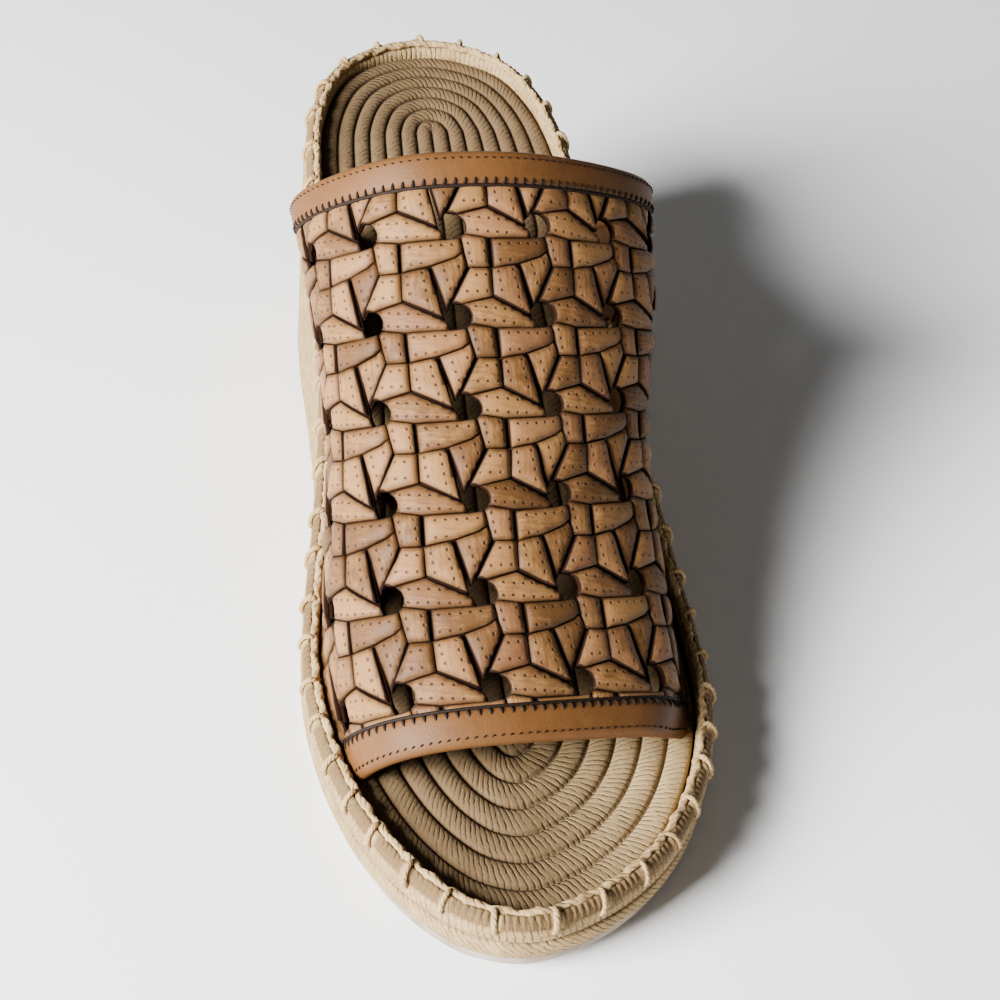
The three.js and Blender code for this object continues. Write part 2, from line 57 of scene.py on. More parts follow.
# Millimetres in one unit of the UV map, and between points that are merged
UV_UNIT = 100
MERGE_DISTANCE = 0.002

# Sole, in millimetres; s runs back from the tip of the toe
SHOE_LENGTH = 247
GAP = 0.3
OUTSOLE_THICK = 3
OUTSOLE_INSET = 1.2
COURSE_HEIGHT = 6
COURSE_DEPTH = 0.9
COURSE_COUNT = 13
TOE_SPRING = 5
TOE_SPRING_LENGTH = 42
WEDGE_FLARE = 3
INSOLE_THICK = 4.5
COIL_COUNT = 7
COIL_RISE = 1.3
COIL_TOE_CENTRE = 55
COIL_HEEL_CENTRE = 212
HUB_STEP = 5
BAND_WIDTH = 3.9
BAND_RISE = 3.2
CORD_WIDTH = 2
INSOLE_MARGIN = 4.2
MARGIN_HIDDEN = 49
MARGIN_BACK = 172
MARGIN_TAPER = 11

# Vamp
WALL = 1.3
STRIP_RISE = 0.9
CELL_ROUND = 19.4
CELL_ALONG = 20.4
FIRST_HOLES = 12
RAND_HEIGHT = 7.5
RAND_THICK = 2.5
FOOT_CLEAR = 0.5
BINDING_WIDTH = 7.6
BINDING_FOOT = INSOLE_THICK + 2 * GAP
SWELL_LOW = 0.75
SWELL_EASE = 1.35
SWELL_START = INSOLE_THICK + BAND_RISE + 2

# s, medial half width, lateral half width
FOOTBED_OUTLINE = [
    (8.6, 14.6, 8.6), (16, 22.4, 20.4), (27, 29.6, 30.4), (42, 36, 38.4), (58, 39.8, 42.8), (74, 41, 43.6),
    (92, 39, 42.4), (116, 34.8, 40), (145, 31.6, 37.4), (170, 30.8, 35), (194, 30.4, 32.6), (216, 28, 28.4),
    (232, 20.8, 20.8), (239.6, 10.6, 10.6),
]
FOOTBED_TOE = (-4, 5.2)
FOOTBED_HEEL = (0, 242)

# s, height of the footbed
FOOTBED_HEIGHT = [
    (-10, 20.5), (5, 18.5), (25, 16.6), (50, 16), (75, 17.6), (100, 24), (130, 36.5), (160, 50), (190, 62.5),
    (220, 71.5), (260, 76),
]

# part, ridge s z x, medial and lateral foot s, medial and lateral fullness, medial and lateral swell
VAMP_SECTIONS = [
    (0, 36, 37, -6, 46, 51, 2.3, 1.75, 0, 4.5),
    (0.25, 64, 52, -7, 90, 94, 2.3, 1.75, 1.5, 5.5),
    (0.5, 92, 69, -6.5, 128, 132, 2.3, 2, 3.5, 7),
    (0.75, 119, 88, -7, 158, 160, 2.3, 2.8, 7.5, 12),
    (1, 145, 109, -6.5, 185, 186, 2.5, 3, 11, 16),
]
# columns of foot, fullness and swell on each side
SIDE_COLUMNS = {-1: (4, 6, 8), 1: (5, 7, 9)}

# Strips of one cell of the weave: corners a, b, rise, and half the slit (mm) along the edge that follows,
# or ROUND_HOLE where that edge borders a hole. grain is the middle of the strip and the way its pinholes run.
ROUND_HOLE = -1
HOLE_RADIUS = 2.75
SLIT = 0.22
WEAVE_STRIPS = [
    {"grain": (-0.3, -0.7, 1, 0.01), "rows": 1.9, "corners": [
        (-0.6, -0.86, 0.75, 0.14), (-0.1, -0.855, 0.95, ROUND_HOLE), (0.07, -0.875, 0.8, 0.14),
        (0.1, -0.72, 0.8, 0.12), (0, -0.655, 0.95, 0.14), (-0.28, -0.57, 0.95, 0.16),
        (-0.6, -0.53, 0.75, 0.34)]},
    {"grain": (-0.02, -0.45, 0.25, 1), "rows": 1.6, "corners": [
        (-0.28, -0.57, 0.6, 0.12), (0, -0.655, 0.6, 0.12), (0.1, -0.72, 0.6, 0.14), (0.14, -0.54, 0.7, 0.3),
        (-0.075, -0.165, 0.5, ROUND_HOLE), (-0.14, -0.08, 0.5, 0.34)]},
    {"grain": (0.25, -0.7, 0.12, 1), "rows": 1.7, "corners": [
        (0.07, -0.875, 0.7, ROUND_HOLE), (0.12, -0.92, 0.55, 0.14), (0.4, -0.86, 0.8, 0.34),
        (0.4, -0.53, 0.95, 0.16), (0.14, -0.54, 0.8, 0.14), (0.1, -0.72, 0.75, 0.14)]},
    {"grain": (0.22, -0.36, 1, 0.02), "rows": 1.8, "corners": [
        (0.14, -0.54, 1, 0.16), (0.4, -0.53, 0.95, 0.14), (0.4, -0.21, 0.95, 0.16),
        (0.05, -0.14, 0.95, ROUND_HOLE), (-0.075, -0.165, 0.95, 0.3)]},
    {"grain": (0.58, -0.34, 0.13, 1), "rows": 1.7, "corners": [
        (0.4, -0.53, 0.75, 0.16), (0.72, -0.57, 0.85, 0.3), (0.855, 0.03, 1, 0.25),
        (0.4, -0.21, 0.85, 0.14)]},
    {"grain": (0.45, 0.0, 1, 0.12), "rows": 1.5, "corners": [
        (0.05, -0.14, 0.5, 0.18), (0.4, -0.21, 0.5, 0.25), (0.855, 0.03, 0.6, ROUND_HOLE),
        (0.9, 0.145, 0.85, 0.15), (0.4, 0.14, 0.95, 0.15), (0.12, 0.08, 0.8, ROUND_HOLE)]},
]

# Shallow creases where the vamp bends: distance from the front, middle and half length round the girth,
# depth and half width
FLEX_CREASES = [
    (34, 2, 26, 0.55, 2.2), (41, -16, 18, 0.4, 1.8), (57, 9, 30, 0.5, 2.4), (83, -4, 24, 0.35, 2.0),
]
CREASE_BOW = 2.5

# Noise scales of the finishes, in waves per metre
FINE_GRAIN = 1500
BINDING_GRAIN = 2100
RAND_GRAIN = 1300

# Pinholes along the strips, in millimetres, and the second dye of some strips
PIN_SPACING = 2.15
ROSY = (0.27, 0.119, 0.056)


def smooth_column(rows, column):
    """Smooth function of a table's first column, through the values of another column."""
    keys = np.array([row[0] for row in rows], float)
    values = np.array([row[column] for row in rows], float)
    before = np.maximum(np.arange(len(keys)) - 1, 0)
    after = np.minimum(np.arange(len(keys)) + 1, len(keys) - 1)
    slopes = (values[after] - values[before]) / (keys[after] - keys[before])

    def at(where):
        where = np.clip(where, keys[0], keys[-1])
        i = np.clip(np.searchsorted(keys, where) - 1, 0, len(keys) - 2)
        span = keys[i + 1] - keys[i]
        t = (where - keys[i]) / span
        return ((2 * t**3 - 3 * t**2 + 1) * values[i] + (t**3 - 2 * t**2 + t) * span * slopes[i]
                + (3 * t**2 - 2 * t**3) * values[i + 1] + (t**3 - t**2) * span * slopes[i + 1])

    return at


footbed_z = smooth_column(FOOTBED_HEIGHT, 1)
half_width = {-1: smooth_column(FOOTBED_OUTLINE, 1), 1: smooth_column(FOOTBED_OUTLINE, 2)}


def platform_z(s):
    return footbed_z(s) - INSOLE_THICK


def toe_spring(s):
    return TOE_SPRING * (np.maximum(0, TOE_SPRING_LENGTH - s) / TOE_SPRING_LENGTH) ** 2


def smoothstep(value, low, high):
    t = np.clip((value - low) / (high - low), 0, 1)
    return t * t * (3 - 2 * t)


def table_at(table, where):
    """The columns of a table at those row numbers, straight between rows."""
    table = np.array(table, float)
    return [np.interp(where, np.arange(len(table)), column) for column in table.T]


def beside(*values):
    return np.stack(values, axis=1)


def in_frame(x, s, z):
    """Points in the shoe's frame."""
    return beside(x, s - SHOE_LENGTH / 2, z)


def scaled(colour, factor):
    return tuple(min(1, channel * factor) for channel in colour)


def curve_points(points, closed, per_span=40):
    """Dense polyline of a centripetal curve through the points."""
    points = [np.array(p, float) for p in points]
    if closed:
        points = [points[-1], *points, *points[:2]]
    else:
        points = [2 * points[0] - points[1], *points, 2 * points[-1] - points[-2]]
    dense = []
    for p0, p1, p2, p3 in zip(points, points[1:], points[2:], points[3:]):
        d0, d1, d2 = (max(np.linalg.norm(b - a) ** 0.5, 1e-4) for a, b in ((p0, p1), (p1, p2), (p2, p3)))
        m1 = ((p1 - p0) / d0 - (p2 - p0) / (d0 + d1) + (p2 - p1) / d1) * d1
        m2 = ((p2 - p1) / d1 - (p3 - p1) / (d1 + d2) + (p3 - p2) / d2) * d1
        square = 3 * (p2 - p1) - 2 * m1 - m2
        cube = 2 * (p1 - p2) + m1 + m2
        for t in np.arange(per_span) / per_span:
            dense.append(p1 + m1 * t + square * t**2 + cube * t**3)
    dense.append(points[-2])
    return np.array(dense)


def lengths_along(points):
    steps = np.linalg.norm(np.diff(points, axis=0), axis=1)
    return np.concatenate([[0], np.cumsum(steps)])


class Outline:
    """Plan outline of the footbed, by the share of its length round from under the vamp's lateral side."""

    START = 0.2

    def __init__(self):
        rows = FOOTBED_OUTLINE
        points = [FOOTBED_TOE] + [(row[2], row[0]) for row in rows] + [FOOTBED_HEEL]
        points += [(-row[1], row[0]) for row in reversed(rows)]
        self.points = curve_points(points, True)
        self.run = lengths_along(self.points)
        self.length = self.run[-1]
        ahead = np.roll(self.points[:-1], -1, axis=0) - np.roll(self.points[:-1], 1, axis=0)
        ahead /= np.linalg.norm(ahead, axis=1)[:, None]
        self.tangents = np.vstack([ahead, ahead[:1]])

    def at(self, share, outset=0):
        """x and s of points at those shares, moved outwards."""
        where = ((np.asarray(share) + self.START) % 1.0) * self.length
        x, s = (np.interp(where, self.run, self.points[:, k]) for k in (0, 1))
        tx, ts = (np.interp(where, self.run, self.tangents[:, k]) for k in (0, 1))
        return x + ts * outset, s - tx * outset


class Last:
    """The form under the vamp, by girth from the ridge (lateral is positive) and distance from the front."""

    STEP = 0.5
    SECTION_STEPS = 120
    REACH = 6
    EASE_PASSES = 90
    NORMAL_PASSES = 6

    def __init__(self):
        ridge = curve_points([(row[3], row[1], row[2]) for row in VAMP_SECTIONS], False)
        run = lengths_along(ridge)
        self.length = run[-1]
        self.alongs = np.arange(-self.REACH, self.length + self.REACH, self.STEP)
        sections = [self.section(along, ridge, run) for along in self.alongs]
        self.girths = {side: np.array([section[side][1][-2] for section in sections]) for side in (-1, 1)}
        widest = max(self.girths[side].max() for side in (-1, 1)) + self.REACH
        self.rounds = np.arange(-widest, widest, self.STEP)
        rows = []
        for section in sections:
            (medial, down_medial), (lateral, down_lateral) = section[-1], section[1]
            points = np.vstack([medial[::-1], lateral[1:]])
            places = np.concatenate([-down_medial[::-1], down_lateral[1:]])
            rows.append(beside(*(np.interp(self.rounds, places, points[:, k]) for k in range(3))))
        self.points = self.eased(np.array(rows))
        normals = np.cross(np.gradient(self.points, axis=1), np.gradient(self.points, axis=0))
        for _ in range(self.NORMAL_PASSES):
            for axis in (0, 1):
                normals = normals + np.roll(normals, 1, axis) + np.roll(normals, -1, axis)
            normals /= np.linalg.norm(normals, axis=2)[:, :, None]
        self.normals = normals

    def eased(self, points):
        """The points, smoothed round the girth."""
        for _ in range(self.EASE_PASSES):
            points[:, 1:-1] = (points[:, :-2] + 2 * points[:, 1:-1] + points[:, 2:]) / 4
        return points

    def lengthened(self, points):
        """The section with its foot carried straight on."""
        end = points[-1] - points[-3]
        return np.vstack([points, points[-1] + end / np.linalg.norm(end) * self.REACH])

    def section(self, along, ridge, run):
        """Points down each side of the form at a distance from the front, and the girth at each."""
        part = min(max(along / self.length, 0), 1)
        beyond = along - part * self.length
        top = np.array([np.interp(part * self.length, run, ridge[:, k]) for k in range(3)])
        step = ridge[1] - ridge[0] if part < 0.5 else ridge[-1] - ridge[-2]
        top = top + step / np.linalg.norm(step) * beyond
        turn = (1 - np.arange(self.SECTION_STEPS + 1) / self.SECTION_STEPS) * math.pi / 2
        sides = {}
        for side, columns in SIDE_COLUMNS.items():
            foot, full, swell = (float(smooth_column(VAMP_SECTIONS, column)(part)) for column in columns)
            foot = foot + beyond
            up = np.sin(turn) ** (2 / full)
            outward = np.maximum(np.cos(turn), 0) ** (2 / full)
            s = foot + (top[1] - foot) * up
            foot_z = float(platform_z(foot))
            rise = top[2] - WALL - STRIP_RISE - foot_z
            edge = half_width[side](s) - FOOT_CLEAR - RAND_THICK
            above = np.maximum(0, up * rise - SWELL_START) / (rise - SWELL_START)
            bulge = swell * np.maximum(0, np.sin(math.pi * above**SWELL_LOW)) ** SWELL_EASE
            x = top[0] * up**2 + side * (edge * outward + bulge)
            points = self.lengthened(in_frame(x, s, foot_z + rise * up))
            sides[side] = (points, lengths_along(points))
        return sides

    def girth(self, along, side):
        return np.interp(along, self.alongs, self.girths[side])

    def feet(self, along, inset):
        """Girths at the medial and the lateral foot, moved in."""
        return inset - self.girth(along, -1), self.girth(along, 1) - inset

    def place(self, round_, along, lift):
        """Points at those girths and distances, lifted off the last."""
        i = np.clip((np.asarray(along) - self.alongs[0]) / self.STEP, 0, len(self.alongs) - 1.001)
        j = np.clip((np.asarray(round_) - self.rounds[0]) / self.STEP, 0, len(self.rounds) - 1.001)
        i0, j0 = i.astype(int), j.astype(int)
        fi, fj = (i - i0)[:, None], (j - j0)[:, None]

        def blend(grid):
            near = grid[i0, j0] * (1 - fj) + grid[i0, j0 + 1] * fj
            far = grid[i0 + 1, j0] * (1 - fj) + grid[i0 + 1, j0 + 1] * fj
            return near * (1 - fi) + far * fi

        normal = blend(self.normals)
        normal /= np.linalg.norm(normal, axis=1)[:, None]
        return blend(self.points) + normal * np.asarray(lift)[:, None]


OUTLINE = Outline()
LAST = Last()


def both_ways(operation):
    """A Math operation with the socket as its first value, and its reflected form."""

    def straight(self, other):
        return self.math(operation, self, other)

    def reflected(self, other):
        return self.math(operation, other, self)

    return straight, reflected


class Value:
    """A shader socket that takes part in Python arithmetic; each operation adds a Math node."""

    def __init__(self, finish, socket):
        self.finish = finish
        self.socket = socket

    def math(self, operation, first, second=0.0):
        return self.finish.node("ShaderNodeMath", {"operation": operation}, {0: first, 1: second})

    __add__, __radd__ = both_ways("ADD")
    __sub__, __rsub__ = both_ways("SUBTRACT")
    __mul__, __rmul__ = both_ways("MULTIPLY")
    __truediv__, __rtruediv__ = both_ways("DIVIDE")

    def __abs__(self):
        return self.math("ABSOLUTE", self)

    def fraction(self):
        return self.math("FRACT", self)

    def step(self, low, high):
        """0 below low, 1 above high, smooth between."""
        return self.finish.node("ShaderNodeMapRange", {"interpolation_type": "SMOOTHSTEP"},
                                {"Value": self, "From Min": low, "From Max": high})


class Finish:
    """A material with its shader and the nodes that feed it."""

    def __init__(self, name, specular=0.5):
        self.material = bpy.data.materials.new(name)
        self.material.use_nodes = True
        self.nodes = self.material.node_tree.nodes
        self.links = self.material.node_tree.links
        self.shader = self.nodes["Principled BSDF"]
        self.shader.inputs["Specular IOR Level"].default_value = specular

    def put(self, socket, value):
        if isinstance(value, Value):
            self.links.new(value.socket, socket)
        elif isinstance(value, tuple) and len(value) == 3 and socket.type == "RGBA":
            socket.default_value = (*value, 1)
        else:
            socket.default_value = value

    def node(self, kind, settings=None, inputs=None, output=0):
        made = self.nodes.new(kind)
        for key, value in (settings or {}).items():
            setattr(made, key, value)
        for key, value in (inputs or {}).items():
            self.put(made.inputs[key], value)
        return Value(self, made.outputs[output])

    def set(self, **sockets):
        for key, value in sockets.items():
            self.put(self.shader.inputs[key.replace("_", " ").title()], value)

    def noise(self, scale, detail=3.0, vector=None, rough=0.55):
        vector = vector or self.node("ShaderNodeTexCoord", output=3)
        return self.node("ShaderNodeTexNoise", {}, {"Vector": vector, "Scale": scale, "Detail": detail,
                                                    "Roughness": rough})

    def surface(self):
        """The two values of the UV map, in millimetres."""
        uv = self.node("ShaderNodeUVMap", {"uv_map": UV_LAYER})
        split = self.node("ShaderNodeSeparateXYZ", {}, {0: uv}).socket.node
        return [Value(self, split.outputs[k]) * UV_UNIT for k in (0, 1)]

    def vector(self, x, y):
        return self.node("ShaderNodeCombineXYZ", {}, {0: x, 1: y})

    def mix(self, share, low, high):
        return self.node("ShaderNodeMix", {"data_type": "RGBA"}, {0: share, 6: low, 7: high}, output=2)

    def attribute(self, name):
        return self.node("ShaderNodeAttribute", {"attribute_name": name}, output=2)

    def bump(self, height, distance, strength):
        inputs = {"Height": height, "Distance": distance, "Strength": strength}
        return self.node("ShaderNodeBump", {}, inputs)


def new_object(name, data):
    made = bpy.data.objects.new(name, data)
    bpy.context.scene.collection.objects.link(made)
    return made


def smooth_object(name, bm, finishes):
    """Object at the origin from a bmesh in metres, with its faces turned outwards and its materials."""
    bmesh.ops.recalc_face_normals(bm, faces=bm.faces)
    for face in bm.faces:
        face.smooth = True
    mesh = bpy.data.meshes.new(name)
    bm.to_mesh(mesh)
    bm.free()
    for finish in finishes:
        mesh.materials.append(finish.material)
    return new_object(name, mesh)


def finished(name, bm, finishes):
    """A piece of the shoe, riding on its one body."""
    piece = smooth_object(name, bm, finishes)
    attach(piece, "root")
    return piece


def new_mesh():
    """Empty mesh, and its UV map."""
    bm = bmesh.new()
    return bm, bm.loops.layers.uv.new(UV_LAYER)


def set_points(bm, points):
    for vert, point in zip(bm.verts, points):
        vert.co = Vector(point) * MM


def grid_surface(columns, rows, shape):
    """Grid laid on a shape: shape(u, v) gives points and UV values in millimetres, and values by name."""
    bm, layer = new_mesh()
    bmesh.ops.create_grid(bm, x_segments=columns, y_segments=rows, size=0.5)
    bm.verts.index_update()
    flat = np.array([vert.co[:2] for vert in bm.verts]) + 0.5
    points, across, values = shape(flat[:, 0], flat[:, 1])
    set_points(bm, points)
    for name, column in values.items():
        value_layer = bm.verts.layers.float.new(name)
        for vert, value in zip(bm.verts, column):
            vert[value_layer] = value
    for face in bm.faces:
        for loop in face.loops:
            loop[layer].uv = across[loop.vert.index] / UV_UNIT
    bmesh.ops.remove_doubles(bm, verts=bm.verts, dist=MERGE_DISTANCE * MM)
    return bm


def close(bm):
    """Fills every open border and turns the faces outwards."""
    bmesh.ops.holes_fill(bm, edges=[edge for edge in bm.edges if edge.is_boundary], sides=0)
    bmesh.ops.recalc_face_normals(bm, faces=bm.faces)


def add_part(total, part):
    """Closes a part and adds it to a larger mesh."""
    close(part)
    mesh = bpy.data.meshes.new("part")
    part.to_mesh(mesh)
    part.free()
    total.from_mesh(mesh)
    bpy.data.meshes.remove(mesh)


def cut(bm, at, normal, merge, **settings):
    """Cuts the whole mesh along a plane."""
    geometry = list(bm.verts) + list(bm.edges) + list(bm.faces)
    bmesh.ops.bisect_plane(bm, geom=geometry, dist=merge, plane_co=at, plane_no=normal, **settings)


def cut_lattice(bm, lines, merge):
    """Cuts a flat mesh along lines across each axis."""
    for axis, places in enumerate(lines):
        normal = Vector((0, 0, 0))
        normal[axis] = 1
        for place in places:
            cut(bm, normal * place, normal, merge)


def toward_hub(x, s, share):
    """Points drawn in from the edge to the line that the coils close on, where they meet at even steps."""
    hub = np.clip(s, COIL_TOE_CENTRE, COIL_HEEL_CENTRE)
    on_line = np.round(hub / HUB_STEP) * HUB_STEP
    return x * share, np.where(share == 0, on_line, hub + (s - hub) * share)


def jute_finish(name, pale, dark, slant, pitch, strands, course=0, grooves=0, panel=False, painted_light=None):
    """Twisted jute: slanted strands, fibres along them, and painted shade between strands and between
    courses.
    """
    finish = Finish(name, 0.2)
    along, across = finish.surface()
    loose = finish.noise(330, 2) * 0.9
    strand = ((along + across * slant) / pitch + loose).fraction() - 0.5
    hollow = abs(strand).step(0.18, 0.5) * finish.noise(420, 2).step(0.25, 0.7)
    drawn_out = finish.vector(along * 0.75 + across * slant * 0.75, across * 1.3 - along * 0.5)
    fibres = finish.noise(3.4, 5, drawn_out, 0.72)
    hairs = finish.noise(1900, 2, rough=0.7)
    patches = finish.noise(160, 4)
    shade = fibres * 0.75 + patches * 0.28 + hairs * 0.32 - 0.14
    colour = finish.mix(shade.step(0.28, 0.78), dark, pale)
    painted_shade = scaled(dark, 0.38)
    # Painted shade in the hollows between strands
    colour = finish.mix(hollow * strands, colour, painted_shade)
    height = fibres * 0.45 + hairs * 0.2 - hollow * 0.8
    if course:
        # Painted shade in the grooves between courses
        groove = abs((across / course).fraction() - 0.5).step(0.36, 0.5)
        colour = finish.mix(groove * grooves, colour, painted_shade)
        height = height - groove * 0.5
    # Painted shade in the band's sunk panels between the blanket stitches
    if panel:
        colour = finish.mix(finish.attribute("panel") * 0.8, colour, finish.mix(fibres, painted_shade, dark))
    # Painted light: paler where the attribute is set
    if painted_light:
        colour = finish.mix(finish.attribute("painted_light") * (0.25 + shade * 0.5), colour, painted_light)
    finish.set(base_color=colour, roughness=0.82 + fibres * 0.16, normal=finish.bump(height, 0.0005, 0.8))
    return finish


def leather_finish(name, pale, tan, grain, gloss, specular=0.2, edging=None):
    """Leather with fine grain and uneven dye. An edging colour adds painted edges and pinholes; the borders
    of the strips also take painted shade.
    """
    finish = Finish(name, specular)
    cloud = finish.noise(60, 4)
    blot = finish.noise(330, 4)
    fine = finish.noise(grain, 3, rough=0.6)
    shade = cloud * 0.5 + blot * 0.4 + fine * 0.14
    height = fine * 0.4 + blot * 0.3
    rough = gloss + blot * 0.22
    if edging:
        tone, edge, slit = (finish.attribute(key) for key in ("tone", "edge", "slit"))
        along, across = finish.surface()
        streak = finish.noise(1.0, 4, finish.vector(along * 0.25, across * 1.7), 0.65)
        shade = shade * 0.6 + blot * 0.34 + streak * 0.65 + tone * 0.46
        colour = finish.mix(shade.step(0.8, 1.25), tan, pale)
        tinted = (tone * 7.3).fraction() * 0.75 + cloud * 0.5 - 0.25
        colour = finish.mix(tinted.step(0.3, 0.9) * 0.45, colour, ROSY)
        wander = finish.noise(240, 1) * 0.7 - 0.35
        aside = abs(across + wander) - finish.attribute("rows")
        spaced = (((along + wander) / PIN_SPACING).fraction() - 0.5) * PIN_SPACING
        hole = 1 - (spaced * spaced * 0.7 + aside * aside).step(0.02, 0.13)
        hole = hole * edge.step(0.5, 0.8)
        # Deeper within 1.5 mm of every border: partly burnished edges, partly painted shade where the rim
        # rolls down
        colour = finish.mix((1 - edge.step(0.0, 1.5)) * 0.6, colour, scaled(tan, 0.5))
        # A dark line right at every border: painted shadow where the strips meet
        colour = finish.mix((1 - edge.step(0.0, 0.2)) * 0.65, colour, scaled(tan, 0.2))
        colour = finish.mix(1 - slit.step(0.1, 0.32), colour, edging)
        colour = finish.mix(hole * 0.75, colour, edging)
        height = height + streak * 0.6 - hole * 1.1
        rough = rough + (1 - slit.step(0.1, 0.5)) * 0.5
    else:
        colour = finish.mix(shade.step(0.36, 0.7), tan, pale)
    finish.set(base_color=colour, roughness=rough, normal=finish.bump(height, 0.00025, 0.9))
    return finish


def thread_finish(name, colour):
    finish = Finish(name, 0.15)
    fibres = finish.noise(2600, 3)
    finish.set(base_color=finish.mix(fibres, scaled(colour, 0.5), colour), roughness=0.5 + fibres * 0.3,
               normal=finish.bump(fibres, 0.0002, 0.8))
    return finish


def colour_setting(name, description, default):
    return FloatVectorProperty(name=name, description=description, subtype="COLOR", default=default)


class LeatherSettings(bpy.types.PropertyGroup):
    """Colours of the vamp and its bindings."""

    pale: colour_setting("Strip", "Lit colour of the woven strips", (0.25, 0.122, 0.041))
    tan: colour_setting("Strip shade", "Deeper dye of the strips", (0.094, 0.041, 0.0125))
    # The same colour on the wall's outer face is painted shade seen down the slits
    dark: colour_setting("Cut edge", "Painted cut edges, slits and pinholes", (0.012, 0.005, 0.0025))
    binding: colour_setting("Binding", "Colour of the folded edge strips", (0.098, 0.0395, 0.0105))
    thread: colour_setting("Thread", "Colour of the stitches", (0.014, 0.007, 0.004))


class JuteSettings(bpy.types.PropertyGroup):
    """Colours of the rope, the band and the footbed."""

    pale: colour_setting("Pale yarn", "Lit colour of the yarn", (0.57, 0.395, 0.188))
    dark: colour_setting("Dark yarn", "Shaded colour of the yarn", (0.15, 0.085, 0.033))
    footbed: colour_setting("Footbed", "Lit colour of the footbed rope", (0.146, 0.095, 0.047))
    stitch_pitch: FloatProperty(name="Stitch spacing", description="Distance between blanket stitches",
                                default=10.4, min=4, max=40)


class StageSettings(bpy.types.PropertyGroup):
    """Camera and light."""

    lens: FloatProperty(name="Lens", description="Focal length in millimetres", default=64, min=10, max=300)
    key: FloatProperty(name="Key light", description="Power of the soft light from the side", default=80,
                       subtype="POWER")
    lamp_size: FloatProperty(name="Lamp size", description="Side of the soft light", default=0.5, min=0.01,
                             max=5, unit="LENGTH")


class SHOE_OT_outsole(bpy.types.Operator):
    """Rubber sheet under the shoe"""

    bl_idname = "shoe.outsole"
    bl_label = "Outsole"

    COLUMNS = 220
    EDGE = BAND_WIDTH - OUTSOLE_INSET
    # share towards the hub, outset, height
    PROFILE = [
        (0, 0, 0), (0.5, 0, 0), (0.96, 0, 0), (1, EDGE - 0.8, 0), (1, EDGE - 0.25, 0.22), (1, EDGE, 0.8),
        (1, EDGE, OUTSOLE_THICK - 0.3), (1, EDGE - 0.2, OUTSOLE_THICK), (0.9, 0, OUTSOLE_THICK),
        (0, 0, OUTSOLE_THICK),
    ]
    WORN = (0.2, 0.165, 0.125)
    CLEAN = (0.42, 0.36, 0.28)

    def execute(self, context):
        rows = len(self.PROFILE) - 1

        def shape(u, v):
            share, out, z = table_at(self.PROFILE, np.rint(v * rows))
            x, s = toward_hub(*OUTLINE.at(u, out), share)
            return in_frame(x, s, z + toe_spring(s)), beside(u * OUTLINE.length, z), {}

        finish = Finish("outsole rubber")
        wear = finish.noise(70, 5)
        fine = finish.noise(900, 2)
        finish.set(base_color=finish.mix(wear.step(0.3, 0.7), self.WORN, self.CLEAN),
                   roughness=0.62 + wear * 0.25, normal=finish.bump(fine + wear, 0.00025, 0.6))
        bm = grid_surface(self.COLUMNS, rows, shape)
        piece = finished("rubber_outsole", bm, [finish])
        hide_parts("outsole")
        return {"FINISHED"}


class SHOE_OT_wedge(bpy.types.Operator):
    """Wedge covered with level rope courses"""

    bl_idname = "shoe.wedge"
    bl_label = "Wedge"

    COLUMNS = 460
    SIDE_ROWS = COURSE_COUNT * 10
    CAP_ROWS = 4
    TALLEST = COURSE_COUNT * COURSE_HEIGHT
    FLARE_START = SHOE_LENGTH / 3
    PROUD = BAND_WIDTH + 0.2
    COURSE_HOLLOW = 1.5 * COURSE_DEPTH
    COURSE_ROUND = 0.5
    YARNS = 3
    YARN_HOLLOW = 0.22
    YARN_ROUND = 0.8

    def execute(self, context):
        jute = context.scene.jute_settings
        rows = self.SIDE_ROWS + 2 * self.CAP_ROWS

        def shape(u, v):
            row = np.rint(v * rows)
            share = np.minimum(np.minimum(row, rows - row) / self.CAP_ROWS, 1)
            height = np.clip((row - self.CAP_ROWS) / self.SIDE_ROWS, 0, 1) * self.TALLEST
            _, s = OUTLINE.at(u, BAND_WIDTH)
            height = np.minimum(height, platform_z(s) - OUTSOLE_THICK - GAP - toe_spring(s))
            up = math.pi * height / COURSE_HEIGHT
            hollow = self.COURSE_HOLLOW * (1 - np.abs(np.sin(up)) ** self.COURSE_ROUND)
            hollow = hollow + self.YARN_HOLLOW * (1 - np.abs(np.sin(self.YARNS * up)) ** self.YARN_ROUND)
            _, s = OUTLINE.at(u)
            flare = WEDGE_FLARE * (1 - height / self.TALLEST) * smoothstep(s, self.FLARE_START, SHOE_LENGTH)
            x, s = toward_hub(*OUTLINE.at(u, self.PROUD - hollow + flare), share)
            z = OUTSOLE_THICK + GAP + height + toe_spring(s)
            z = np.where(row > rows - self.CAP_ROWS, platform_z(s), z)
            return in_frame(x, s, z), beside(u * OUTLINE.length, height), {}

        finish = jute_finish("wedge rope", jute.pale[:], jute.dark[:], slant=0.9, pitch=1.5, strands=0.36,
                             course=COURSE_HEIGHT, grooves=0.6)
        piece = finished("roped_wedge", grid_surface(self.COLUMNS, rows, shape), [finish])
        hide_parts("wedge_sole")
        return {"FINISHED"}


